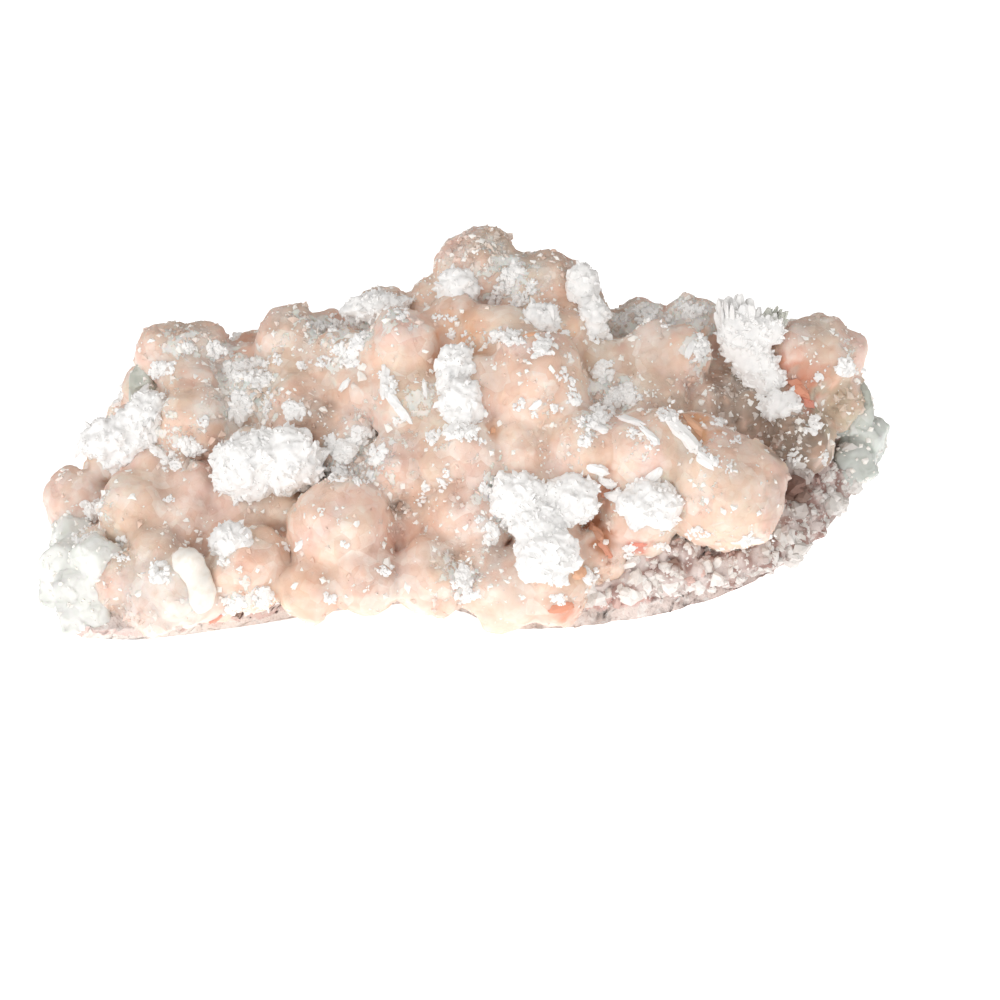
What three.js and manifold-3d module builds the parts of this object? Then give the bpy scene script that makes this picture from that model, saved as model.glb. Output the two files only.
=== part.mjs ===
// A cabinet specimen of stilbite with apophyllite, as it lies on a shelf.
//
// Millimetres, +Z up. X runs along the specimen, -Y is its display side, and the origin lies in the
// flat break that it rests on. The stilbite grew as balls, each a sheaf of blades opened out into a
// rounded head, that run into one another and are one solid. Below them lies the thin plate of
// matrix that they grew from, at its edges stand blocky apophyllite crystals, and on it sit clumps of
// sugary white crystals and one upright spray of white blades.

import * as THREE from "three";
import { mergeVertices } from "three/addons/utils/BufferGeometryUtils.js";
import Module from "manifold-3d";

const wasm = await Module();
wasm.setup();

// ---- Driving dimensions ----------------------------------------------------------------------

const GAP = 0.3; // clearance that one mineral keeps from the next
const BALL_CLEARANCE = 0.3; // how far above the shelf the lowest stilbite hangs
const BALL_RELIEF = 0.055; // height of the broad swellings on a ball, as a share of its radius
const HEART_RELIEF = 0.03;
const CLUMP_RELIEF = 0.14;
const FACET_LENGTH = 6.6; // about how long one edge of a rounded head's facets is
const FEWEST_ROUND = 5; // facets round the smallest head, and round the largest
const MOST_ROUND = 8;
const FACET_SWELL = 1.05; // makes up for what flat facets take off a round head

const PLATE_STEPS = 32; // facets round the matrix plate
const PLATE_THIN = 3.2; // its thickness at the left end
const PLATE_THICK = 9; // its thickness from the middle to the right end
const PLATE_LIFT = 23; // how far its right end curls up
const PLATE_LIFT_FROM = 9; // where along X the curl starts
const PLATE_SLOPE = 0.105; // how much the underside also rises for each millimetre from there on
const PLATE_RIGHT = 69; // where along X the curl stands upright
const PLATE_GAP_RISE = 1.5; // the gap over the plate is measured upwards, so its slopes need more

const SPRAY_FOOT = [46.6, -4.5, 40];
const SPRAY_FOOT_RADII = [4.6, 3.2, 5.8];
const SPRAY_BLADES = 14;
const SPRAY_SPREAD = 0.46; // radians that the outermost blade leans by
const BLADE_LENGTH = 13.4; // the middle blade; the outer ones are shorter
const BLADE_WIDTH = 1.5;
const BLADE_THICKNESS = 0.8;

const PLATE_MIDDLE = [0, 16]; // every point of its outline can be seen from here

// The matrix plate's outline seen from above, as points on a smooth closed curve: [x, y].
const PLATE_OUTLINE = [
  [-65, -8],
  [-62, -24],
  [-51, -26],
  [-36, -18],
  [-18, -6],
  [-4, -5],
  [8, -19],
  [22, -22.5],
  [38, -20.5],
  [52, -14.5],
  [62, -6],
  [68, 3],
  [64, 15],
  [48, 25],
  [20, 31],
  [-10, 31],
  [-38, 27],
  [-57, 16],
];

// Stilbite balls on the display side and along the ridge: [x, y, z, radius].
const RIDGE_BALLS = [
  [-48.6, 2, 41.2, 5.4],
  [-43.3, 4, 41.6, 5.0],
  [-37, 4, 38.4, 4.5],
  [-28.4, 2, 43.4, 5.9],
  [-23.2, 6, 43.4, 4.6],
  [-12.8, 5, 46.3, 6.0],
  [2.6, 5, 54.6, 7.3],
  [14.1, 3, 49.9, 7.9],
  [29.5, 8, 45.0, 4.7],
  [38.6, 7, 45.0, 5.3],
  [46.5, 8, 41.0, 5.6],
  [58.7, 2, 40.0, 7.8],
  [61.6, 0, 33.4, 4.7],
];
const UPPER_BALLS = [
  [-43.3, -6, 31.0, 6.6],
  [-44.6, -2, 36.6, 4.8],
  [-34, -3, 35.0, 4.6],
  [-26.4, -6, 32.6, 6.6],
  [-15.7, -7, 36.8, 5.4],
  [-9.7, -6, 42.4, 7.4],
  [-8, -11, 35.0, 6.3],
  [-1.1, -3, 46.6, 5.6],
  [6.2, -7, 44.3, 6.5],
  [11.8, -12, 38.1, 9.0],
  [3, -12, 37.0, 7.0],
  [16, -3, 44.8, 6.5],
  [24.9, -4, 39.4, 5.2],
  [30.9, -4, 42.2, 5.4],
  [35.6, -5, 42.2, 5.0],
  [30.5, -8, 34.3, 6.0],
  [39.7, -4, 33.1, 5.8],
  [47.2, -2, 32.2, 5.6],
];
const MIDDLE_BALLS = [
  [-52.7, -4, 29.0, 5.0],
  [-57.4, -4, 25.4, 4.0],
  [-62.9, -6, 18.0, 5.6],
  [-52.5, -14, 18.2, 6.1],
  [-43.4, -12, 21.4, 5.0],
  [-35.7, -13, 18.0, 5.5],
  [-32.2, -11, 25.0, 6.8],
  [-19.2, -20, 16.8, 8.4],
  [-18.8, -11, 25.8, 5.0],
  [-9.5, -15, 25.6, 6.2],
  [-0.2, -17, 28.1, 7.4],
  [9.4, -16, 27.9, 6.8],
  [1.4, -19, 19.0, 6.8],
  [13.4, -18, 20.6, 7.0],
  [20.5, -17, 28.9, 7.0],
  [29.2, -18, 28.5, 7.3],
  [36.5, -16, 28.8, 6.4],
  [43, -20, 22.7, 9.9],
  [28.4, -19, 18.6, 6.4],
  [55.1, -6, 28.5, 5.6],
];
const LOWER_BALLS = [
  [-60, -13, 10.6, 5.2],
  [-54.1, -20, 8.0, 5.5],
  [-45.3, -23, 7.6, 6.4],
  [-33.6, -21, 10.4, 6.7],
  [-39.5, -21, 6.6, 4.6],
  [-23.9, -24, 7.4, 4.7],
  [-15.1, -24, 9.6, 5.6],
  [-4.9, -23, 9.6, 6.3],
  [7, -23, 7.4, 6.6],
  [14.1, -22, 10.6, 7.0],
  [21.8, -20.5, 12.6, 4.6],
];

// Broader balls on the side that faces away: [x, y, z, radius].
const BACK_BALLS = [
  [-46, 12, 32, 11],
  [-26, 17, 34, 11.5],
  [-4, 18, 38, 12],
  [16, 18, 38, 12],
  [36, 17, 34, 11],
  [54, 12, 31, 9.5],
  [-55, 12, 18, 10],
  [-38, 24, 17, 12],
  [-16, 26, 19, 12.5],
  [6, 27, 20, 13],
  [28, 25, 20, 12],
  [46, 19, 22, 10.5],
];

// The grown-together heart of the mass, below the balls: [x, y, z, radius along X, Y and Z].
const HEART = [
  [0, 7, 22, 57, 18, 19],
  [7, 5, 41, 17, 9, 11],
  [44, 4, 30, 17, 11, 11],
  [-39, 4, 27, 18, 11, 12],
  [-46, -4, 12, 16, 14, 10],
];

// Apophyllite crystals, by cluster: [x, y, z, half width, half height, lean and turn in radians].
const APOPHYLLITE = {
  apophyllite_left: [
    [-62.4, -16, 8.6, 4.2, 5.4, 0.25, 0.3],
    [-60.6, -20.5, 5.4, 4.0, 5.0, -0.3, 0.9],
    [-58, -20.5, 11.6, 3.2, 4.0, 0.6, 0.2],
    [-63.2, -11, 12.6, 3.2, 4.4, 0.2, 1.1],
  ],
  apophyllite_right: [
    [66.4, 1, 27.4, 3.3, 3.8, 0.3, 0.4],
    [64.4, -2, 23.6, 3.0, 3.4, -0.5, 0.9],
    [64.4, 1, 32.6, 3.2, 4.4, -0.2, 0.7],
  ],
  apophyllite_upper_left: [
    [-53.2, 2.2, 36.4, 2.6, 3.4, 0.1, 0.8],
    [-52.4, 0.6, 39.2, 2.0, 2.6, -0.4, 0.1],
  ],
};

// Clumps of sugary white crystals, by place: each lump is [x, y, z, radius along X, Y and Z].
const CLUMPS = {
  white_clump_left_shoulder: [
    [-55.4, -7.4, 28.6, 6.0, 4.2, 4.8],
    [-50.8, -7.2, 32.4, 4.2, 3.8, 4.0],
  ],
  white_clump_left: [
    [-34.4, -15.6, 26.0, 5.4, 4.4, 5.2],
    [-27.4, -16, 27.0, 5.6, 4.4, 5.6],
  ],
  white_clump_low_left: [[-36, -23.6, 15.4, 3.3, 2.6, 3.1]],
  white_lobe_low_left: [[-41.8, -27, 10.4, 3.2, 2.4, 4.6]],
  white_clump_ridge: [[-13.7, 0, 49.3, 5.4, 3.4, 2.6]],
  white_clump_summit: [[-0.5, -1.6, 52.4, 3.5, 2.8, 3.5]],
  white_clump_centre: [
    [-0.7, -15.2, 41.4, 3.1, 2.8, 4.6],
    [0.2, -18.8, 36.0, 3.5, 2.8, 4.8],
  ],
  white_clump_upper: [[12.6, -8.2, 47.6, 3.5, 2.6, 3.5]],
  white_clump_upper_right: [
    [19.6, -2.2, 53.0, 2.7, 2.4, 3.6],
    [21.1, -5.2, 47.8, 2.7, 2.4, 3.8],
  ],
  white_clump_right: [[51.8, -7, 34.3, 3.3, 2.4, 2.3]],
  white_clump_low_centre: [
    [13.7, -28, 13.9, 5.2, 3.2, 4.7],
    [12.5, -25.8, 18.5, 4.2, 3.0, 3.6],
    [9.3, -23.4, 22.5, 4.7, 3.0, 4.2],
    [17.2, -23.6, 22.2, 4.4, 3.0, 4.0],
  ],
  white_clump_low_right: [[29.8, -24.4, 21.4, 5.2, 3.2, 4.3]],
};

// ---- Helpers ---------------------------------------------------------------------------------

// A closed geometry as a solid: only its positions are kept, and shared vertices are merged.
function solidOf(geometry) {
  const bare = geometry.clone();
  bare.deleteAttribute("normal");
  bare.deleteAttribute("uv");
  const merged = mergeVertices(bare, 1e-4);
  return new wasm.Manifold(
    new wasm.Mesh({
      numProp: 3,
      vertProperties: new Float32Array(merged.attributes.position.array),
      triVerts: new Uint32Array(merged.index.array),
    }),
  );
}

function geometryOf(solid) {
  const mesh = solid.getMesh();
  const geometry = new THREE.BufferGeometry();
  geometry.setAttribute("position", new THREE.BufferAttribute(mesh.vertProperties, 3));
  geometry.setIndex(new THREE.BufferAttribute(mesh.triVerts, 1));
  return geometry;
}

const joined = (solids) => solids.reduce((whole, next) => whole.add(next));

// The largest connected body of a solid, without the crumbs and sealed pockets that a cut can leave.
function largest(solid) {
  return solid.decompose().reduce((a, b) => (a.volume() > b.volume() ? a : b));
}

// Moves every vertex of a geometry through a function that changes the vector it is given.
function reshape(geometry, move) {
  const at = geometry.attributes.position;
  const p = new THREE.Vector3();
  for (let i = 0; i < at.count; i++) {
    p.fromBufferAttribute(at, i);
    move(p);
    at.setXYZ(i, p.x, p.y, p.z);
  }
  return geometry;
}

// Broad swellings of a rounded head: a sum of four waves of the direction n, shifted by a phase.
function swelling(n, phase) {
  return (
    (Math.sin(3.1 * n.x + 1.7 * phase) +
      Math.sin(2.7 * n.y + 2.9 * phase + 1.3) +
      Math.sin(3.7 * n.z + 2.3 * phase + 2.1) +
      Math.sin(5.3 * (n.x - n.z) + 1.1 * phase)) /
    2
  );
}

// A faceted, lumpy ellipsoid, turned its own way, and `grow` larger all round with the same facets.
// A larger head has more of them.
function head([x, y, z], [rx, ry, rz], relief, grow = 0) {
  const phase = x + 0.5 * z;
  const wanted = (2 * Math.PI * Math.max(rx, ry, rz)) / FACET_LENGTH;
  const around = Math.round(THREE.MathUtils.clamp(wanted, FEWEST_ROUND, MOST_ROUND));
  const geometry = new THREE.SphereGeometry(FACET_SWELL, around, Math.ceil(0.6 * around));
  geometry.rotateX(phase).rotateZ(2 * phase);
  reshape(geometry, (p) => {
    p.multiplyScalar(1 + relief * swelling(p, phase));
    p.set(x + (rx + grow) * p.x, y + (ry + grow) * p.y, z + (rz + grow) * p.z);
  });
  return solidOf(geometry);
}

// ---- Matrix ----------------------------------------------------------------------------------

const plateCurve = new THREE.CatmullRomCurve3(
  PLATE_OUTLINE.map(([x, y]) => new THREE.Vector3(x, y, 0)),
  true,
);

// The plate's section from its middle, along the underside, round the broken edge and back on top:
// [share of the way out to the outline, share of the thickness].
const PLATE_SECTION = [
  [0, 0],
  [0.6, 0],
  [0.98, 0],
  [1, 0.58],
  [0.93, 1],
  [0.75, 1.45],
  [0, 1.45],
];

// How far the underside stands above the shelf: none on the left, then a slope and a curl that steepens.
function plateLift(x) {
  const run = Math.max(x - PLATE_LIFT_FROM, 0);
  const t = Math.min(run / (PLATE_RIGHT - PLATE_LIFT_FROM), 1);
  return PLATE_SLOPE * run + PLATE_LIFT * (1 - Math.sqrt(1 - t ** 3));
}

// The broken plate of matrix, `grow` larger all round.
function matrixPlate(grow) {
  const profile = PLATE_SECTION.map(([out, up]) => new THREE.Vector2(out, up));
  const plate = new THREE.LatheGeometry(profile, PLATE_STEPS);
  const middle = new THREE.Vector3(...PLATE_MIDDLE, 0);
  reshape(plate, (p) => {
    const [out, up] = [Math.hypot(p.x, p.z), p.y];
    const turn = (Math.atan2(p.x, p.z) / (2 * Math.PI) + 1) % 1;
    const rim = plateCurve.getPoint(turn);
    const place = middle.clone().lerp(rim, out);
    const thickness = THREE.MathUtils.lerp(
      PLATE_THIN,
      PLATE_THICK,
      THREE.MathUtils.smoothstep(place.x, -45, 15),
    );
    const ripple = 0.6 * Math.sin(0.31 * place.x) * Math.sin(0.27 * place.y + 1) * up;
    const rise = plateLift(place.x) + up * thickness + ripple;
    const outward = rim.sub(middle).normalize().multiplyScalar(out * grow);
    p.set(place.x + outward.x, place.y + outward.y, rise + Math.sign(up - 0.5) * PLATE_GAP_RISE * grow);
  });
  return solidOf(plate);
}

// ---- Stilbite --------------------------------------------------------------------------------

// The balls and their heart as one solid, `grow` larger all round.
function stilbiteMass(grow) {
  const balls = [RIDGE_BALLS, UPPER_BALLS, MIDDLE_BALLS, LOWER_BALLS, BACK_BALLS].flat();
  const inner = HEART.map(([x, y, z, ...radii]) => head([x, y, z], radii, HEART_RELIEF, grow));
  const round = balls.map(([x, y, z, r]) => head([x, y, z], [r, r, r], BALL_RELIEF, grow));
  return joined([...inner, ...round]);
}

// Everything below a height.
function slabBelow(height) {
  return solidOf(new THREE.BoxGeometry(400, 400, 100).translate(0, 0, height - 50));
}

// ---- Apophyllite -----------------------------------------------------------------------------

// A blocky crystal: a four-sided prism that ends in a truncated pyramid.
function apophylliteCrystal([x, y, z, halfWidth, halfHeight, lean, turn]) {
  const corner = halfWidth * Math.SQRT2;
  const profile = [
    [0, -1],
    [1, -1],
    [1, 0.6],
    [0.6, 1],
    [0, 1],
  ].map(([out, up]) => new THREE.Vector2(out * corner, up * halfHeight));
  const crystal = new THREE.LatheGeometry(profile, 4);
  crystal.rotateX(Math.PI / 2 + lean).rotateZ(turn).translate(x, y, z);
  return solidOf(crystal);
}

// ---- White minerals --------------------------------------------------------------------------

function whiteClump(lumps) {
  return joined(lumps.map(([x, y, z, ...radii]) => head([x, y, z], radii, CLUMP_RELIEF)));
}

// Pointed blades that fan out of one lumpy foot: the golden angle spreads them evenly over a cone.
function whiteSpray() {
  const golden = Math.PI * (3 - Math.sqrt(5));
  const parts = [head(SPRAY_FOOT, SPRAY_FOOT_RADII, CLUMP_RELIEF)];
  for (let i = 0; i < SPRAY_BLADES; i++) {
    const share = Math.sqrt((i + 0.5) / SPRAY_BLADES);
    const length = BLADE_LENGTH * (1 - 0.22 * share + 0.07 * Math.sin(5 * i));
    const profile = [
      [0, 0],
      [0.75, 0.7],
      [0, 1],
    ].map(([out, up]) => new THREE.Vector2(out * BLADE_WIDTH, up * length));
    const blade = new THREE.LatheGeometry(profile, 4);
    blade.scale(1, 1, BLADE_THICKNESS / BLADE_WIDTH).rotateY(i);
    blade.rotateX(Math.PI / 2 - SPRAY_SPREAD * share).rotateZ(golden * i).translate(...SPRAY_FOOT);
    parts.push(solidOf(blade));
  }
  return joined(parts);
}

// ---- Assembly --------------------------------------------------------------------------------

const FINISH = {
  matrix: { color: 0xd9bdb8, roughness: 0.85 },
  stilbite: { color: 0xedc9b4, roughness: 0.5 },
  apophyllite: { color: 0xd5ddd0, roughness: 0.15, transparent: true, opacity: 0.7 },
  white: { color: 0xf6f5f3, roughness: 0.8 },
};

const specimen = new THREE.Group();

function place(name, solid, finish) {
  const material = new THREE.MeshStandardMaterial({ ...finish, metalness: 0, flatShading: true });
  const mesh = new THREE.Mesh(geometryOf(solid), material);
  mesh.name = name;
  specimen.add(mesh);
}

const shelf = slabBelow(0);
const matrix = largest(matrixPlate(0).subtract(shelf));
const matrixRoom = matrixPlate(GAP);
const stilbite = largest(stilbiteMass(0).subtract(matrixRoom).subtract(slabBelow(BALL_CLEARANCE)));
const grownRoom = stilbiteMass(GAP).add(matrixRoom);

place("matrix", matrix, FINISH.matrix);
place("stilbite", stilbite, FINISH.stilbite);
for (const [name, crystals] of Object.entries(APOPHYLLITE)) {
  const cluster = joined(crystals.map(apophylliteCrystal));
  place(name, largest(cluster.subtract(grownRoom).subtract(shelf)), FINISH.apophyllite);
}
for (const [name, lumps] of Object.entries(CLUMPS)) {
  place(name, largest(whiteClump(lumps).subtract(grownRoom)), FINISH.white);
}
place("white_spray", largest(whiteSpray().subtract(grownRoom)), FINISH.white);

export default specimen;
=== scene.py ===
# %% [markdown]
# # A cabinet specimen of stilbite with apophyllite
#
# The specimen is a crowd of round stilbite heads on a thin plate of matrix, with glassy apophyllite at
# its ends and chalky white crystals on top. Its solids come packed, as a fixed frame. This file dresses
# them: every solid is replaced by a finer surface of the same form, in the same place. All sizes are in
# millimetres until a mesh is written.

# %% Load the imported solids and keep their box
import math

import bpy
import numpy as np
from mathutils import Matrix, Vector
from mathutils.bvhtree import BVHTree


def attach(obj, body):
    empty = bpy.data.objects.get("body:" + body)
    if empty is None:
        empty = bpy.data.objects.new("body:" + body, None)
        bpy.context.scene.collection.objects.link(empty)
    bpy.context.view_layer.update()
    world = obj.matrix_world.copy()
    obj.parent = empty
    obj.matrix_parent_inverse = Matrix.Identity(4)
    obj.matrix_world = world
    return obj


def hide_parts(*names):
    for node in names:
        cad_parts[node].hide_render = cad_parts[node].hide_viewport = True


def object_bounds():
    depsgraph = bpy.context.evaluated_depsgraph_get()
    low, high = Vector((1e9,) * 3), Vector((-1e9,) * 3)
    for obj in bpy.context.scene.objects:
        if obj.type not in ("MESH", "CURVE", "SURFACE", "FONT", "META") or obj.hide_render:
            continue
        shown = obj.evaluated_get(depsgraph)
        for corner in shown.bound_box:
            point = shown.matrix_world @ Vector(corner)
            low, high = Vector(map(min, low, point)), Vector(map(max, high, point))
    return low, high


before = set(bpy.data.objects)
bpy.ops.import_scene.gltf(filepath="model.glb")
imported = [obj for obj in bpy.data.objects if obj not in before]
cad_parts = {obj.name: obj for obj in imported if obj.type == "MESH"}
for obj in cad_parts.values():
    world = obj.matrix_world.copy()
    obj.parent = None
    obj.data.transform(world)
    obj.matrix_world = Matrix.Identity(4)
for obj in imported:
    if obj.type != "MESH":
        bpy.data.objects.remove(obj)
cad_low, cad_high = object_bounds()
MM = 0.001
cad_size = [round((high - low) / MM, 1) for low, high in zip(cad_low, cad_high)]
print("solids:", len(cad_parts), "box in mm:", cad_size)

# %% [markdown]
# ## The camera
# A mineral is shown a little from above with a long lens, so that its heads keep their proportions. The
# camera is worked out first, because small white tufts are placed where they are seen, by casting a ray
# from it onto the stilbite.

# %% Camera
PICTURE = 1000  # width and height of the picture, in pixels
LENS = 100.0
SENSOR = 36.0
CAMERA_RISE = math.radians(12)
CAMERA_AWAY = 461.0
AIM = np.array([6.2, 0.0, 17.2])

forward = np.array([0.0, math.cos(CAMERA_RISE), -math.sin(CAMERA_RISE)])
upward = np.array([0.0, math.sin(CAMERA_RISE), math.cos(CAMERA_RISE)])
rightward = np.array([1.0, 0.0, 0.0])
eye = AIM - CAMERA_AWAY * forward

lens = bpy.data.cameras.new("camera")
lens.lens = LENS
lens.sensor_width = SENSOR
camera = bpy.data.objects.new("camera", lens)
bpy.context.collection.objects.link(camera)
turn = Matrix((rightward, upward, -forward)).transposed().to_4x4()
camera.matrix_world = Matrix.Translation(Vector(eye * MM)) @ turn
bpy.context.scene.camera = camera
print("camera stands", round(-eye[1]), "mm in front and", round(eye[2]), "mm up")


def sight(across, down):
    """Unit direction from the eye through a pixel: forward, plus right and up by their share of the lens."""
    reach = LENS / SENSOR * PICTURE
    ray = forward + (across - PICTURE / 2) / reach * rightward + (PICTURE / 2 - down) / reach * upward
    return ray / np.linalg.norm(ray)

# %% [markdown]
# ## Tools for surfaces
# A surface here is an array of points and an array of triangles. Two helpers join and write them. Noise
# is a sum of waves that run in random directions: it is smooth, has one chosen size, and needs no loop
# over points.

# %% Joining surfaces and writing meshes
def joined(shells):
    """Several (points, faces) pairs as one pair, each one's corners counted on from the last."""
    starts = np.cumsum([0] + [len(points) for points, _ in shells[:-1]])
    points = np.concatenate([points for points, _ in shells])
    faces = np.concatenate([faces + start for (_, faces), start in zip(shells, starts)])
    return points, faces


def write_mesh(name, points, faces, smooth=True):
    """A mesh object at the origin from points in mm and their faces."""
    mesh = bpy.data.meshes.new(name)
    mesh.from_pydata(points * MM, [], faces)
    mesh.polygons.foreach_set("use_smooth", np.full(len(mesh.polygons), smooth))
    mesh.update()
    piece = bpy.data.objects.new(name, mesh)
    bpy.context.collection.objects.link(piece)
    return piece


def read_mesh(piece):
    """The points in mm and triangles of an object with its modifiers applied."""
    graph = bpy.context.evaluated_depsgraph_get()
    shown = piece.evaluated_get(graph)
    mesh = shown.to_mesh()
    points = np.empty(len(mesh.vertices) * 3)
    mesh.vertices.foreach_get("co", points)
    mesh.calc_loop_triangles()
    faces = np.empty(len(mesh.loop_triangles) * 3, np.int32)
    mesh.loop_triangles.foreach_get("vertices", faces)
    shown.to_mesh_clear()
    return points.reshape(-1, 3) / MM, faces.reshape(-1, 3)


def add_number(piece, name, values):
    """One number per point, for a material to read."""
    attribute = piece.data.attributes.new(name, "FLOAT", "POINT")
    attribute.data.foreach_set("value", np.asarray(values, np.float32))


def add_colour(piece, name, colours):
    """One colour per point, for a material to read."""
    rgba = np.ones((len(colours), 4), np.float32)
    rgba[:, :3] = colours
    attribute = piece.data.attributes.new(name, "FLOAT_COLOR", "POINT")
    attribute.data.foreach_set("color", rgba.ravel())


def smooth_first(piece, count):
    """Shades the first `count` faces smooth, a grown surface, and the crystals after them flat."""
    piece.data.polygons.foreach_set("use_smooth", np.arange(len(piece.data.polygons)) < count)


def remeshed(name, shells, voxel):
    """Shells run together by a voxel remesh, as points in mm and triangles."""
    rough = write_mesh(name + "_rough", *joined(shells))
    remesh = rough.modifiers.new("remesh", "REMESH")
    remesh.mode = "VOXEL"
    remesh.voxel_size = voxel * MM
    points, faces = read_mesh(rough)
    bpy.data.objects.remove(rough)
    return points, faces

# %% Noise, globes and random turns
WAVES = 20  # sines in one smooth noise


def waves(points, length, seed):
    """Smooth noise of about -1 to 1: the mean of WAVES sines along random directions, each with a
    wavelength within a third of `length`, times the root of their number."""
    draw = np.random.default_rng(seed)
    ways = draw.normal(size=(WAVES, 3))
    ways /= np.linalg.norm(ways, axis=1)[:, None]
    ways *= 2 * np.pi / (length * draw.uniform(0.7, 1.35, WAVES))[:, None]
    shift = draw.uniform(0, 2 * np.pi, WAVES)
    total = np.zeros(len(points))
    for way, start in zip(ways, shift):
        total += np.sin(points @ way + start)
    return total / math.sqrt(WAVES)


def scrambled(cubes, seed):
    """Six numbers of 0 to 1 for each whole-numbered cube: the broken part of a large sine of it."""
    mixing = np.array([[127.1, 269.5, 113.5, 271.9, 419.2, 371.9],
                       [311.7, 183.3, 271.9, 246.1, 347.3, 157.1],
                       [74.7, 246.1, 124.6, 331.3, 191.7, 263.5]])
    return np.modf(np.abs(np.sin(cubes @ mixing + seed)) * 43758.5)[0]


def broken(points, size, seed):
    """Heights of broken planes, about -1 to 1. Every cube of `size` holds one scattered seed. A point
    belongs to its nearest seed, and its height is how far it lies along that seed's own direction."""
    cubes = np.floor(points / size)
    nearest = np.full(len(points), 9.0)
    height = np.zeros(len(points))
    for shift in np.ndindex(3, 3, 3):
        cube = cubes + np.array(shift) - 1
        random = scrambled(cube, seed)
        away = points / size - cube - random[:, :3]
        far = (away**2).sum(axis=1)
        height = np.where(far < nearest, (away * (4 * random[:, 3:] - 2)).sum(axis=1), height)
        nearest = np.minimum(far, nearest)
    return height


def globe(rings, around):
    """Unit directions on a globe, a function of polar angle and turn: a pole, circles, and a pole."""
    polar, turn = np.meshgrid(
        np.pi * np.arange(1, rings + 1) / (rings + 1),
        2 * np.pi * np.arange(around) / around,
        indexing="ij",
    )
    circles = np.stack([np.sin(polar) * np.cos(turn), np.sin(polar) * np.sin(turn), np.cos(polar)], -1)
    return np.concatenate([[[0, 0, 1]], circles.reshape(-1, 3), [[0, 0, -1]]])


def globe_faces(rings, around):
    """The globe's triangles, outwards: fans at both poles and two for each cell between circles."""
    ring, step = np.meshgrid(np.arange(rings - 1), np.arange(around), indexing="ij")
    a = 1 + ring * around + step
    b = 1 + ring * around + (step + 1) % around
    walls = np.stack([a, a + around, b + around, a, b + around, b], -1).reshape(-1, 3)
    here = 1 + np.arange(around)
    there = 1 + (np.arange(around) + 1) % around
    low = (rings - 1) * around
    last = np.full(around, 1 + rings * around)
    top = np.stack([last * 0, here, there], 1)
    bottom = np.stack([low + here, last, low + there], 1)
    return np.concatenate([top, walls, bottom])


def unit(vectors):
    """The vectors at length one."""
    return vectors / np.maximum(np.linalg.norm(vectors, axis=-1, keepdims=True), 1e-9)


def fade(low, high, values):
    """0 below low and 1 above high, with a smooth S between: 3t^2 - 2t^3."""
    t = np.clip((values - low) / (high - low), 0, 1)
    return t * t * (3 - 2 * t)

# %% [markdown]
# ## Crowds of lumps
# Stilbite heads and chalky clumps are both crowds of lumps that grew into one another. A lump is an
# ellipsoid with broad swellings and a few soft flats. The crowd's surface is where a blended distance is
# zero: far from a crease it is the nearest lump's own, and in a crease the two run together. A voxel
# remesh of plain globes gives a clean mesh of about the right form, and then every point slides along
# the distance's slope until it lies on the exact surface.

# %% The distance to a crowd of lumps
FLATS = 11  # soft flats on each lump
SOFT = 0.03  # how rounded the edges between them are, in radii
NEAR = 2.5  # how far from a lump it still counts
CREASE = 0.9  # how wide a crease counts as one
BOUNDS = (-6, 12)  # distances are held in these, so that their exponentials stay in range


def swelling(way, phase):
    """Broad swellings: half the sum of four sines of the direction, shifted by the lump's phase."""
    x, y, z = way[:, 0], way[:, 1], way[:, 2]
    return (
        np.sin(3.1 * x + 1.7 * phase)
        + np.sin(2.7 * y + 2.9 * phase + 1.3)
        + np.sin(3.7 * z + 2.3 * phase + 2.1)
        + np.sin(5.3 * (x - z) + 1.1 * phase)
    ) / 2


def lump_reach(way, lump, relief, flat):
    """How far a lump of radius 1 reaches in a direction: 1 plus its swelling, cut softly by flats that
    stand about `flat` away from its middle."""
    phase = lump[0] + 0.5 * lump[2]
    draw = np.random.default_rng(int(abs(phase) * 100))
    faces = unit(draw.normal(size=(FLATS, 3)))
    stand = flat * draw.uniform(0.97, 1.09, FLATS)
    reach = 1 + relief * swelling(way, phase)
    cuts = stand / np.maximum(way @ faces.T, 0.3)
    return -SOFT * np.log(np.exp(-reach / SOFT) + np.exp(-cuts / SOFT).sum(axis=1))


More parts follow.
